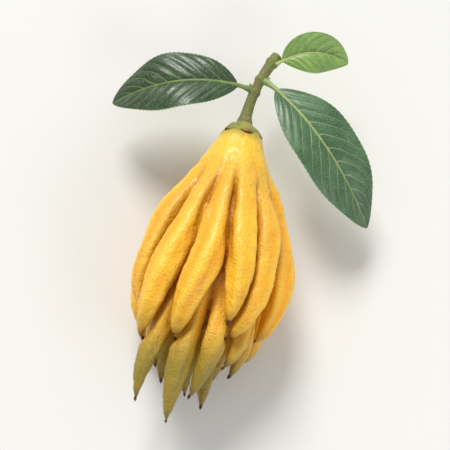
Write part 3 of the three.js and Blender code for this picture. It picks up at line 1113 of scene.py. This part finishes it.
def make_green_skin(name, roughness, main, patch, patch_size, dot_colour, edge_colour=None):
    """A green, slightly waxy skin with oil glands. The edge colour follows an attribute called edge."""
    material, tree, shader, where = make_material(name, roughness, Coat_Weight=0.05, Coat_Roughness=0.4)
    patches = mottled(tree, where, colour(main), patch, patch_size, amount=0.8)
    skin = patches["Color"]
    if edge_colour:
        skin = mixed(tree, attribute(tree, "edge"), skin, colour(edge_colour))
    dots = placed_group(tree, glands, {"Vector": where, "Spacing": 0.0009, "Dot": 0.3})
    speck = maths(tree, "MULTIPLY", dots["Dots"], 0.4)
    tree.links.new(mixed(tree, speck, skin, colour(dot_colour)), shader["Base Color"])
    gloss = eased(tree, patches["Mask"], 0.0, 0.8, roughness - 0.05, roughness + 0.1)
    tree.links.new(gloss, shader["Roughness"])
    height = maths(tree, "ADD", dots["Height"], noise(tree, where, scale=1100.0, detail=4.0))
    tree.links.new(bumped(tree, height, strength=0.5, distance=0.0002), shader["Normal"])
    return material


known = {"edge": smooth(np.hypot(strip_vertices[:, 0], strip_vertices[:, 2]), *DRY_EDGE)}
at_centre = strip_vertices - np.array(STEM_END) / MM
strip = mesh_object("lobe_strip", at_centre, strip_faces, attributes=known)
calyx = run_tree("calyx_star", strip, radial, {
    "Count": CALYX_LOBES, "Centre": STEM_END, "Dent Size": 0.0035, "Dent Height": 0.0007, "Seed": 7.0,
    "Material": make_green_skin("calyx_green", 0.55, "7C8A3A", "A39A4B", 0.004, "5B6A2C", "8A6B3A"),
})
print("calyx has", len(calyx.data.polygons), "faces")

# %% [markdown]
# ## Stems
# The stalk is a young green twig with small corky pores. A stem is a section that follows a path, which is
# what Curve to Mesh does. So the stem tree reads the path from a line of vertices that carry their own
# radius, sweeps it, adds grain and scatters pores on the bark with a fixed seed. A stack of cylinders would
# have shown its joints. The leaves' petioles use the same tree without pores.


# %% Stems
def swept_bark(tree, enter):
    """A round section swept along the line, as thick as the line's own radius, with a long grain."""
    curve = add(tree, "GeometryNodeMeshToCurve", {"Mesh": enter["Geometry"]}).outputs[0]
    circle = add(tree, "GeometryNodeCurvePrimitiveCircle", {"Resolution": enter["Sides"], "Radius": 1.0})
    radius = add(tree, "GeometryNodeInputNamedAttribute", {"Name": "radius"}, data_type="FLOAT").outputs[0]
    tube = add(tree, "GeometryNodeCurveToMesh", {
        "Curve": curve, "Profile Curve": circle.outputs[0], "Scale": radius, "Fill Caps": True,
    }).outputs[0]
    pattern = seeded_noise(tree, place_in_grain(tree, 0.25), enter["Seed"], enter["Grain Size"], detail=3.0)
    return roughened(tree, tube, pattern, enter["Grain Height"])


def scattered_pores(tree, enter, bark):
    """Flat grains of cork scattered on the bark, each with its own size."""
    spots = add(tree, "GeometryNodeDistributePointsOnFaces", {
        "Mesh": bark, "Density": enter["Pores Per Square Metre"], "Seed": enter["Seed"],
    }).outputs
    pore = add(tree, "GeometryNodeMeshUVSphere", {"Segments": 10, "Rings": 7, "Radius": enter["Pore Size"]})
    choice = add(tree, "FunctionNodeRandomValue", {
        "Min": (0.6, 0.9, 0.3), "Max": (1.0, 2.0, 0.5), "Seed": enter["Seed"],
    }, data_type="FLOAT_VECTOR").outputs[0]
    return add(tree, "GeometryNodeInstanceOnPoints", {
        "Points": spots["Points"], "Instance": pore.outputs["Mesh"], "Rotation": spots["Rotation"],
        "Scale": choice,
    }).outputs[0]


def make_stem_tree():
    """Sweeps a round section along a line whose vertices carry a radius, with grain and scattered pores."""
    tree, enter, leave = new_group(
        "GeometryNodeTree",
        "swept_stem",
        {
            "Geometry": "Geometry", "Sides": 40, "Grain Size": 0.0015, "Grain Height": 0.0002,
            "Pores Per Square Metre": 0.0, "Pore Size": 0.0004, "Seed": 1, "Material": "Material",
            "Pore Material": "Material",
        },
        {"Geometry": "Geometry"},
    )
    bark = swept_bark(tree, enter)
    pores = scattered_pores(tree, enter, bark)
    joined = tree.nodes.new("GeometryNodeJoinGeometry")
    tree.links.new(coated(tree, pores, enter["Pore Material"]), joined.inputs[0])
    tree.links.new(coated(tree, bark, enter["Material"]), joined.inputs[0])
    tree.links.new(joined.outputs[0], leave[0])
    return tree


stem = make_stem_tree()
print(stem.name, "has", len(stem.nodes), "nodes")

# %% [markdown]
# ## The stalk's line
# The stalk rises straight from the calyx and then bends. It thickens at its foot and at every place where a
# leaf grows, and its last few vertices close the cut end with a slightly rounded rim. A line of vertices
# with radii holds all of that in a few numbers.

# %% The stalk's line
STALK_PATH = [(0, 3.9, 0), (0, 16, 0), (3, 28, 3.5), (9, 40, 0.5)]
STALK_RADIUS = 2.7
STALK_STATIONS = 90
CURVE_STEPS = 500
LEAF_NODES = {"leaf_left": 0.42, "leaf_right": 0.6, "leaf_young": 0.88}  # shares of the stalk
NODE_SWELLING = 0.55
NODE_LENGTH = 0.035
FOOT_SWELLING = 0.9
FOOT_LENGTH = 0.06
STALK_WAIST = 0.2  # how much thinner the stalk is half-way along than at its ends
CUT_SHARE = 0.985  # the share of the stalk at which the rounded cut begins
FOOT_DEPTH = 1.4  # how deep the stalk sits in the calyx
CUT_RING = [  # height above the cut, share of the radius
    (-0.3, 1.0), (-0.1, 0.97), (0.0, 0.9), (0.02, 0.6), (0.03, 0.3), (0.035, 0.02),
]


def stations(points, shares, facing=(0, 0, 1)):
    """Places at shares of a cubic curve's length, with the ways along it, across it and out of its face."""
    path = bezier(points, np.linspace(0, 1, CURVE_STEPS))
    shares = np.asarray(shares, float)
    before, after = np.maximum(shares - 1 / CURVE_STEPS, 0), np.minimum(shares + 1 / CURVE_STEPS, 1)
    along = unit(evenly(path, after) - evenly(path, before))
    side = unit(np.cross(np.array(facing, float), along))
    return {"middles": evenly(path, shares), "along": along, "side": side, "up": np.cross(along, side)}


def hump(shares, at, width):
    """1 at one share of a line, and soon 0 on both sides of it."""
    return np.exp(-(((shares - at) / width) ** 2))


def stalk_line(end):
    """The stalk's vertices and radii, from inside the calyx to the middle of the cut at its end."""
    shares = np.linspace(0, CUT_SHARE, STALK_STATIONS)
    line = stations(STALK_PATH, shares)
    radii = STALK_RADIUS * (1 + STALK_WAIST * (0.5 - np.sin(np.pi * shares)))
    radii = radii + FOOT_SWELLING * hump(shares, 0, FOOT_LENGTH)
    for node in LEAF_NODES.values():
        radii = radii + NODE_SWELLING * hump(shares, node, NODE_LENGTH)
    heights, ring_shares = np.array(CUT_RING).T
    cap = end["middles"] + end["along"] * heights[:, None]
    foot = line["middles"][0] - line["along"][0] * FOOT_DEPTH
    cap_radii = radii[-1] * ring_shares
    return np.vstack([foot, line["middles"], cap]), np.concatenate([[radii[0]], radii, cap_radii])


def line_object(name, points, radii):
    """A line of vertices that know the radius of the stem round them."""
    edges = [(i, i + 1) for i in range(len(points) - 1)]
    line = mesh_object(name, points, [], attributes={"radius": np.array(radii) * MM})
    line.data.edges.add(len(edges))
    line.data.edges.foreach_set("vertices", np.ravel(edges))
    return line


stalk_end = stations(STALK_PATH, [1.0])
stalk_skeleton = line_object("stalk_line", *stalk_line(stalk_end))
print("stalk's line has", len(stalk_skeleton.data.vertices), "vertices")

# %% [markdown]
# ## Bark and cut wood
# The cut end shows pale wood with faint rings, a white pith and a green rim of bark. It could be a disc of
# its own with a second material, but then its edge would be a hard line. Instead one material knows the
# plane of the cut, and turns everything past it to wood.

# %% Bark and cut wood
RING_WAVES = 9500.0  # how fast the rings follow each other, in radians to the metre
PITH = (0.0007, 0.0004)  # distances from the middle between which wood turns into pith
BARK_RIM = (0.0021, 0.0024)  # and into bark
PAST_CUT = (-0.00012, -0.00004)  # depths behind the cut between which bark turns into wood


def cut_wood(tree, off):
    """The colour of the cut end by the distance from its middle: pith, rings, green rim."""
    radius = add(tree, "ShaderNodeVectorMath", {0: off}, operation="LENGTH").outputs["Value"]
    rings = eased(tree, maths(tree, "SINE", maths(tree, "MULTIPLY", radius, RING_WAVES)), -1.0, 1.0, 0.0, 0.5)
    wood = mixed(tree, rings, colour("D9CC93"), colour("B5A05E"))
    wood = mixed(tree, eased(tree, radius, *PITH), wood, colour("EDE6C4"))
    return mixed(tree, eased(tree, radius, *BARK_RIM), wood, colour("7C8A45"))


def make_twig(cut_point, cut_direction):
    """Green bark with a pale cut end: everything past the plane of the cut is wood."""
    material, tree, shader, where = make_material("twig", 0.6)
    patches = mottled(tree, where, colour("6F7D3B"), "7A6A44", size=0.006, amount=0.9)
    dots = placed_group(tree, glands, {"Vector": where, "Spacing": 0.001, "Dot": 0.28})
    bark = mixed(tree, maths(tree, "MULTIPLY", dots["Dots"], 0.45), patches["Color"], colour("45532A"))
    off = add(tree, "ShaderNodeVectorMath", {0: where, 1: cut_point}, operation="SUBTRACT").outputs[0]
    depth = add(tree, "ShaderNodeVectorMath", {0: off, 1: cut_direction}, operation="DOT_PRODUCT")
    past_cut = eased(tree, depth.outputs["Value"], *PAST_CUT)
    tree.links.new(mixed(tree, past_cut, bark, cut_wood(tree, off)), shader["Base Color"])
    height = maths(tree, "ADD", dots["Height"], noise(tree, where, scale=1300.0, detail=4.0))
    tree.links.new(bumped(tree, height, strength=0.6, distance=0.0003), shader["Normal"])
    return material


def make_cork():
    """The dry tissue of the bark's pores."""
    material, tree, shader, where = make_material("pore_cork", 0.85)
    patches = mottled(tree, where, colour("B3A478"), "8A7A50", size=0.0008, amount=0.8)
    tree.links.new(patches["Color"], shader["Base Color"])
    return material


twig = make_twig(tuple(stalk_end["middles"][0] * MM + STEM_END), tuple(stalk_end["along"][0]))
stalk = run_tree("cut_stalk", stalk_skeleton, stem, {
    "Sides": 48, "Grain Size": 0.0016, "Grain Height": 0.0004, "Pores Per Square Metre": 130000.0,
    "Pore Size": 0.00028, "Seed": 5, "Material": twig, "Pore Material": make_cork(),
})
print("stalk has", len(stalk.data.polygons), "faces")

# %% [markdown]
# ## Veins
# Between a leaf's side veins lies a fine net of smaller ones. The three leaves share one pattern, so the
# veins are a node group. It doesn't draw them from an image: the blade knows at every vertex which vein is
# near, how far the midrib is and how far the edge, and the group turns those numbers into lines.


# %% Veins
def side_veins(tree, enter):
    """Lines that leave the midrib at even steps, wander a little and fade before the edge."""
    wander = maths(tree, "SUBTRACT", noise(tree, enter["Vector"], scale=120.0, detail=1.0), 0.5)
    place = maths(tree, "ADD", enter["Vein Place"], maths(tree, "MULTIPLY", wander, 0.35))
    off = maths(tree, "ABSOLUTE", maths(tree, "SUBTRACT", maths(tree, "FRACT", place), 0.5))
    width = eased(tree, enter["Towards Edge"], 0.0, 1.0, 0.085, 0.035)
    narrow = maths(tree, "DIVIDE", maths(tree, "SUBTRACT", 0.5, off), width)
    fade = eased(tree, enter["Towards Edge"], 0.98, 0.72)
    return maths(tree, "MULTIPLY", eased(tree, narrow, 1.0, 0.3), fade)


def make_vein_group():
    """Masks for the midrib, the side veins and the fine net, and a height for all three."""
    tree, enter, leave = new_group(
        "ShaderNodeTree",
        "leaf_veins",
        {
            "Vector": "Vector", "Vein Place": 0.0, "From Rib": 0.0, "Towards Edge": 0.0,
            "Rib Width": 0.7, "Net Size": 0.0016,
        },
        {"Rib": "Float", "Veins": "Float", "Net": "Float", "Height": "Float"},
    )
    veins = side_veins(tree, enter)
    rib = eased(tree, maths(tree, "DIVIDE", enter["From Rib"], enter["Rib Width"]), 1.0, 0.55)
    cells = {"Vector": enter["Vector"], "Scale": maths(tree, "DIVIDE", 1.0, enter["Net Size"])}
    edges = add(tree, "ShaderNodeTexVoronoi", cells, feature="DISTANCE_TO_EDGE").outputs["Distance"]
    net = eased(tree, edges, 0.1, 0.02)
    raised = maths(tree, "MAXIMUM", maths(tree, "MAXIMUM", rib, veins), maths(tree, "MULTIPLY", net, 0.35))
    for label, value in {"Rib": rib, "Veins": veins, "Net": net, "Height": raised}.items():
        tree.links.new(value, leave[label])
    return tree


leaf_veins = make_vein_group()
print(leaf_veins.name, "has", len(leaf_veins.nodes), "nodes")

# %% [markdown]
# ## Leaf finishes
# Citron leaves are leathery. The upper side is glossy and dark, the underside pale and dull, and clear oil
# dots sit between the veins. The old leaf is nearly black-green, the next one grey-green and the youngest
# yellow-green, so one function makes three finishes from a table of colours.

# %% Leaf finishes
LEAF_COLOURS = {
    # finish: roughness, upper side, its patches, underside, veins, oil glands, width of the midrib
    "old_leaf": (0.3, "1E3B1F", "2A4C27", "5E7F4C", "8FA566", "3E6132", 0.85),
    "leaf": (0.34, "355C3A", "47704A", "7E9A6B", "A9BD86", "5C8354", 0.9),
    "young_leaf": (0.38, "6C9440", "86A950", "A3BC78", "C9D79A", "9DBB66", 0.6),
}


def leaf_marks(tree, where, rib_width):
    """The veins of a blade, placed by what its vertices know."""
    return placed_group(tree, leaf_veins, {
        "Vector": where, "Vein Place": attribute(tree, "vein_place"), "From Rib": attribute(tree, "from_rib"),
        "Towards Edge": attribute(tree, "towards_edge"), "Rib Width": rib_width,
    })


def make_leaf_finish(name, roughness, upper, patch, under, vein, dot, rib_width):
    """A leaf's two sides with their veins, oil glands and pale margin."""
    material, tree, shader, where = make_material(name, roughness, Coat_Weight=0.25, Coat_Roughness=0.28)
    marks = leaf_marks(tree, where, rib_width)
    face = mottled(tree, where, colour(upper), patch, size=0.009, amount=0.8)
    dots = placed_group(tree, glands, {"Vector": where, "Spacing": 0.0011, "Dot": 0.26})
    behind = attribute(tree, "underside")
    side = mixed(tree, behind, face["Color"], colour(under))
    margin = eased(tree, attribute(tree, "towards_edge"), 0.965, 0.99)
    layers = [
        (marks["Net"], 0.16, vein), (dots["Dots"], 0.35, dot), (marks["Veins"], 0.42, vein),
        (marks["Rib"], 0.9, vein), (margin, 0.5, vein),
    ]
    for mask, amount, code in layers:
        side = mixed(tree, maths(tree, "MULTIPLY", mask, amount), side, colour(code))
    tree.links.new(side, shader["Base Color"])
    gloss = eased(tree, face["Mask"], 0.0, 0.8, roughness, roughness + 0.1)
    tree.links.new(maths(tree, "ADD", gloss, eased(tree, behind, 0.0, 1.0, 0.0, 0.25)), shader["Roughness"])
    sunk = maths(tree, "MULTIPLY", marks["Height"], -0.8)
    relief = maths(tree, "ADD", sunk, maths(tree, "MULTIPLY", dots["Height"], 0.35))
    tree.links.new(bumped(tree, relief, strength=0.6, distance=0.0003), shader["Normal"])
    return material


leaf_finishes = {name: make_leaf_finish(name, *values) for name, values in LEAF_COLOURS.items()}
print("leaf finishes:", ", ".join(leaf_finishes))

# %% [markdown]
# ## Where the leaves grow
# Each leaf starts on the stalk at its node and follows a curve of its own: the old one hangs out to the left,
# the grey-green one droops to the right, and the young one still stands up. Only the midrib's curve and the
# way the upper side faces are given; the rest of a leaf is worked out from them.

# %% Where the leaves grow
LEAVES = {
    "leaf_left": {
        "slot": "old_leaf", "width": 31, "petiole": 0.11, "facing": (-0.1, 0.25, 1), "pairs": 10,
        "midrib": [(-20, 20, 13), (-44, 15, 13), (-66, 2, -9)],
    },
    "leaf_right": {
        "slot": "leaf", "width": 34, "petiole": 0.1, "facing": (0.15, 0.2, 1), "pairs": 11,
        "midrib": [(24, 14, 14), (50, -8, 14), (70, -32, -14)],
    },
    "leaf_young": {
        "slot": "young_leaf", "width": 20, "petiole": 0.1, "facing": (0.1, -0.25, 1), "pairs": 8,
        "midrib": [(18, 43, 7), (31, 47, 9), (44, 44, 0)],
    },
}
FOOT_REACH = 4  # how far outside the stalk's middle a leaf's curve starts


def leaf_root(name):
    """Where a leaf grows: the stalk's middle, the way the stalk runs, and the way the leaf leaves it."""
    node = stations(STALK_PATH, [LEAF_NODES[name]])
    origin, along = node["middles"][0], node["along"][0]
    away = np.array(LEAVES[name]["midrib"][0], float) - origin
    return origin, along, unit(away - along * (away @ along))


def leaf_path(name):
    """The midrib's curve, from its foot on the stalk."""
    root = leaf_root(name)
    return [root[0] + root[2] * FOOT_REACH, *LEAVES[name]["midrib"]]


print("leaves grow at", [round(float(leaf_root(name)[0][1])) for name in LEAVES], "mm up the stalk")

# %% [markdown]
# ## A blade's form
# A blade's edge has fine blunt teeth. Between the side veins the sheet bulges like a quilt, it folds a little
# along the midrib, and its edges wave. All of that is worked out on a square of shares: u runs down the leaf
# and v from one edge to the other.

# %% A blade's form
TEETH = 34
TOOTH = 0.32
PILLOW = 0.42
VEIN_SLANT = 0.2
VEIN_BEND = 0.06
VEIN_SHIFT = 0.2  # how far the veins of each half are shifted, in opposite ways, in steps between veins
SHIFT_STEEPNESS = 8
WAVINESS = 0.03
WAVES_ALONG = 2.2
GROOVE = 0.35
GROOVE_WIDTH = 0.8
FOLD = 0.3
FOLD_BEND = 0.22
OUTLINE_LEAN = 0.9  # below 1, the blade is widest nearer to its foot than to its point
OUTLINE_FULLNESS = 0.75
NARROWEST = (0.45, 0.1)  # half of the blade's width at its foot and at its point, at the least
TOOTH_RISE = 0.75  # the share of a tooth that rises slowly


def half_width(u, v, leaf):
    """The distance from the midrib to the edge, with the outline's teeth."""
    outline = np.clip(np.sin(np.pi * u**OUTLINE_LEAN), 0, 1) ** OUTLINE_FULLNESS
    narrowest = NARROWEST[0] + (NARROWEST[1] - NARROWEST[0]) * u
    half = np.maximum(narrowest, leaf["width"] / 2 * outline)
    tooth = (u * TEETH + 0.5 * (v > 0)) % 1.0
    saw = np.where(tooth < TOOTH_RISE, tooth / TOOTH_RISE, (1 - tooth) / (1 - TOOTH_RISE))
    return half + TOOTH * saw * np.abs(v) ** 8 * outline, outline


def vein_number(u, v, leaf):
    """Which side vein a place is near: a whole number on a vein, and in between between them."""
    shift = VEIN_SHIFT * np.tanh(SHIFT_STEEPNESS * v)
    return (u - VEIN_SLANT * np.abs(v) - VEIN_BEND * v * v) * leaf["pairs"] + shift


def blade_lift(u, v, leaf):
    """The height of the upper side above the midrib's curve: fold, quilt, wave and groove."""
    half, outline = half_width(u, v, leaf)
    fold = half * (FOLD * np.abs(v) - FOLD_BEND * v * v)
    between = np.sin(np.pi * vein_number(u, v, leaf)) ** 2
    quilt = PILLOW * between * smooth(np.abs(v), 0.02, 0.3) * (1 - np.abs(v) ** 5) * outline
    phase = 1.3 * (v > 0) + leaf["pairs"]
    wave = leaf["width"] * WAVINESS * v * v * np.sin(2 * np.pi * (WAVES_ALONG * u + 0.3 * phase)) * outline
    groove = GROOVE * np.exp(-((np.abs(v) * half / GROOVE_WIDTH) ** 2)) * outline
    return fold + quilt + wave - groove


print("widest half:", round(float(half_width(0.46, 1.0, LEAVES["leaf_right"])[0]), 1), "mm")

# %% [markdown]
# ## Leaf blades
# A blade is a thin closed sheet: an upper and a lower grid joined round the edge. A flat card with a painted
# image would look cut out of paper from the side. A grid of points that is computed row by row keeps the
# relief and the veins in step, because both read the same vein numbers.

# %% Leaf blades
BLADE_ROWS = 221
BLADE_COLUMNS = 45
FREE_PETIOLE = 0.7  # share of the petiole that is free of the blade
BLADE_THICKNESS = 0.45
EDGE_THINNING = 0.7
RIB_VANISHES = 1.15  # the midrib's line narrows towards the point, and would be gone at this share


def blade_faces(upper_faces, count):
    """The faces of both grids and of the edge between them. count: the vertices of one grid."""
    index = np.arange(count).reshape(BLADE_ROWS, BLADE_COLUMNS)
    rim = np.concatenate([index[0, :], index[1:, -1], index[-1, -2::-1], index[-2:0:-1, 0]])
    after = np.roll(rim, -1)
    edge = np.stack([rim, rim + count, after + count, after], axis=1)
    return np.concatenate([upper_faces, upper_faces[:, ::-1] + count, edge])


def make_blade(name, leaf):
    """The blade as one closed mesh that knows its veins."""
    u = np.linspace(0, 1, BLADE_ROWS)[:, None]
    v = np.linspace(-1, 1, BLADE_COLUMNS)[None, :]
    base = leaf["petiole"] * FREE_PETIOLE
    rows = stations(leaf_path(name), base + (1 - base) * u[:, 0], leaf["facing"])
    half = half_width(u, v, leaf)[0]
    middles, side, up = (rows[label][:, None] for label in ("middles", "side", "up"))
    upper = middles + side * (v * half)[..., None] + up * blade_lift(u, v, leaf)[..., None]
    across = np.abs(v) * np.ones_like(u)
    lower = upper - up * (BLADE_THICKNESS * (1 - EDGE_THINNING * across**6))[..., None]
    vertices, faces = grid_mesh(upper)
    known = {
        "vein_place": vein_number(u, v, leaf),
        "from_rib": across * half / (RIB_VANISHES - u),
        "towards_edge": across,
    }
    known = {label: np.tile(np.ravel(values), 2) for label, values in known.items()}
    known["underside"] = np.repeat([0.0, 1.0], len(vertices))
    both = np.concatenate([vertices, lower.reshape(-1, 3)])
    faces = blade_faces(faces, len(vertices))
    return mesh_object(name + "_blade", both, faces, leaf_finishes[leaf["slot"]], known)


blades = {name: make_blade(name, leaf) for name, leaf in LEAVES.items()}
print("blades:", ", ".join(f"{name} {len(blade.data.polygons)} faces" for name, blade in blades.items()))

# %% [markdown]
# ## Petioles and midribs
# Each leaf hangs on a short petiole that runs on under the blade as its midrib. Both are one tapering stem,
# so they are swept by the same tree as the stalk. The petiole is thick where it leaves the stalk and again a
# little where the blade begins, and the midrib ends just before the leaf's point.

# %% Petioles and midribs
RIB_COLOURS = {
    # finish of the leaf: the rib's main colour, its patches and their size, its oil glands
    "old_leaf": ("6E8748", "8A9A55", 0.005, "4E6A36"),
    "leaf": ("8BA261", "A3B273", 0.005, "66834A"),
    "young_leaf": ("A9BF6E", "BCCB86", 0.004, "87A252"),
}
RIB_END = 0.97
RIB_STATIONS = 110
RIB_RADIUS = 1 / 31  # share of the leaf's width
RIB_SINK = 0.28  # how far the rib's middle lies below the blade's face, besides half of its radius
RIB_ROOT = 3.0  # how far the petiole goes on towards the stalk's middle
RIB_FORM = {"plain": 1.05, "at_stalk": 0.5, "at_blade": 0.12}
SWOLLEN = 0.03  # the share of the rib that a swelling takes
RIB_TAPER = 0.78
GOES_UNDER = (0.6, 1.4)  # shares of the petiole between which it goes under the blade


def rib_radii(shares, leaf):
    """A petiole's and midrib's thickness along its length."""
    at_stalk = RIB_FORM["at_stalk"] * hump(shares, 0, SWOLLEN)
    at_blade = RIB_FORM["at_blade"] * hump(shares, leaf["petiole"], SWOLLEN)
    radii = leaf["width"] * RIB_RADIUS * (RIB_FORM["plain"] + at_stalk + at_blade)
    return radii * (1 - RIB_TAPER * smooth(shares, 0.05, 1.0))


def make_rib(name, leaf):
    """The petiole and midrib of a leaf as one stem."""
    shares = np.linspace(0, RIB_END, RIB_STATIONS)
    line = stations(leaf_path(name), shares, leaf["facing"])
    radii = rib_radii(shares, leaf)
    under = smooth(shares, *(leaf["petiole"] * share for share in GOES_UNDER))
    sunk = under * (RIB_SINK + 0.5 * radii)
    middles = line["middles"] - line["up"] * sunk[:, None]
    root = middles[0] - leaf_root(name)[2] * RIB_ROOT
    skeleton = line_object("rib_line", np.vstack([root, middles]), np.concatenate([radii[:1], radii]))
    skin = make_green_skin(leaf["slot"].replace("leaf", "rib"), 0.5, *RIB_COLOURS[leaf["slot"]])
    return run_tree(name + "_rib", skeleton, stem, {
        "Sides": 20, "Grain Size": 0.0012, "Grain Height": 0.0002, "Seed": 3, "Material": skin,
    })


ribs = {name: make_rib(name, leaf) for name, leaf in LEAVES.items()}
print("ribs:", ", ".join(f"{name} {len(rib.data.polygons)} faces" for name, rib in ribs.items()))

# %% [markdown]
# ## Buds
# In the corner between each petiole and the stalk sits a small bud, from which the next twig would grow. It
# is a grain on a point, like the fingertips' nibs, but green, and it leans away from the stalk.

# %% Buds
BUD_WIDTH = 2.0
BUD_LENGTH = 3.4
BUD_AWAY = 3.3
BUD_ABOVE = 1.6
BUD_LEAN = 0.7  # how far a bud leans away from the stalk
BUD_SIZES = [1.0, 1.0, 0.8]  # as shares, in the order of the leaves


def bud_points():
    """A point for each leaf's bud: beside the stalk and above the petiole."""
    points, directions = [], []
    for name in LEAVES:
        origin, along, away = leaf_root(name)
        points.append(origin + away * BUD_AWAY + along * BUD_ABOVE)
        directions.append(unit(away * BUD_LEAN + along))
    return points_object("bud_points", points, directions, BUD_SIZES)


buds = run_tree("axil_buds", bud_points(), grains, {
    "Width": BUD_WIDTH * MM, "Length": BUD_LENGTH * MM, "Dent Height": 0.0004, "Seed": 9.0,
    "Material": make_green_skin("bud_green", 0.55, "7F9145", "6B5A3A", 0.0015, "56642E"),
})
print("buds have", len(buds.data.polygons), "faces")

# %% [markdown]
# ## Floor
# The pale floor is plain and a little dull, because all colour belongs to the fruit. It is much wider than
# the fruit, so that its edge stays far away from it.

# %% Floor
FLOOR_REACH = 3


def make_floor():
    """A wide square on the plane Z = 0."""
    material = bpy.data.materials.new("pale_floor")
    material.use_nodes = True
    shader = material.node_tree.nodes["Principled BSDF"].inputs
    shader["Base Color"].default_value = colour("E8E8E5")
    shader["Roughness"].default_value = 0.7
    corners = [(-1, -1), (1, -1), (1, 1), (-1, 1)]
    mesh = bpy.data.meshes.new("floor")
    mesh.from_pydata([(x * FLOOR_REACH, y * FLOOR_REACH, 0) for x, y in corners], [], [(0, 1, 2, 3)])
    mesh.materials.append(material)
    floor = bpy.data.objects.new("floor", mesh)
    bpy.context.scene.collection.objects.link(floor)
    return floor


make_floor()
print("floor is", 2 * FLOOR_REACH, "m wide")

# %% [markdown]
# ## Light
# Fruit is shown best by one large soft window and a weak light from the other side: the window models the
# fingers, the weak light keeps the clefts readable. The window stands beyond the stalk, to the left, so the
# fingers' upper sides are bright and their tips turn away from it. The camera sees a brighter sky than the
# fruit does, so that the backdrop matches the floor without washing out the shadows.

# %% Light
WINDOW_STRENGTH = 2.5
WINDOW_SPREAD = 24  # degrees
FILL_STRENGTH = 0.5
SKY = 0.52
BACKDROP = 0.92


def add_window(name, towards, strength, tint=(1, 1, 1)):
    """Soft light from one direction, as strong at the horizon as on the fruit."""
    light = bpy.data.lights.new(name, "SUN")
    light.energy = strength
    light.angle = math.radians(WINDOW_SPREAD)
    light.color = tint
    lamp = bpy.data.objects.new(name, light)
    lamp.rotation_euler = (-Vector(towards)).to_track_quat("-Z", "Y").to_euler()
    bpy.context.scene.collection.objects.link(lamp)


def make_sky():
    """A white world that is brighter for the camera than for the fruit."""
    world = bpy.data.worlds.new("studio")
    world.use_nodes = True
    tree = world.node_tree
    backdrop = tree.nodes["Background"].inputs
    backdrop["Color"].default_value = (1, 1, 1, 1)
    seen = add(tree, "ShaderNodeLightPath").outputs["Is Camera Ray"]
    strength = add(tree, "ShaderNodeMapRange", {"Value": seen, "To Min": SKY, "To Max": BACKDROP})
    tree.links.new(strength.outputs[0], backdrop["Strength"])
    return world


add_window("window", (-0.35, 0.75, 0.8), WINDOW_STRENGTH, (1, 0.98, 0.95))
add_window("fill", (0.8, -0.5, 0.7), FILL_STRENGTH)
bpy.context.scene.world = make_sky()
bpy.context.scene.view_settings.view_transform = "Standard"
print("window", WINDOW_STRENGTH, "and fill", FILL_STRENGTH)

# %% [markdown]
# ## Hand over
# Every piece rides on the one body of the frame and stands in for the solid that it details, whose own mesh
# is hidden.

# %% Hand over
stand_ins = [
    (fruit, "citron_fruit", "peel"), (nibs, "citron_fruit", "peel"), (calyx, "calyx", "calyx_green"),
    (stalk, "fruit_stalk", "twig"), (buds, "fruit_stalk", "twig"),
]
for name, leaf in LEAVES.items():
    stand_ins += [(blades[name], name, leaf["slot"]), (ribs[name], name, leaf["slot"])]
for piece, node, slot in stand_ins:
    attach(piece, "root")
    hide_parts(node)
print(len(stand_ins), "pieces handed over")
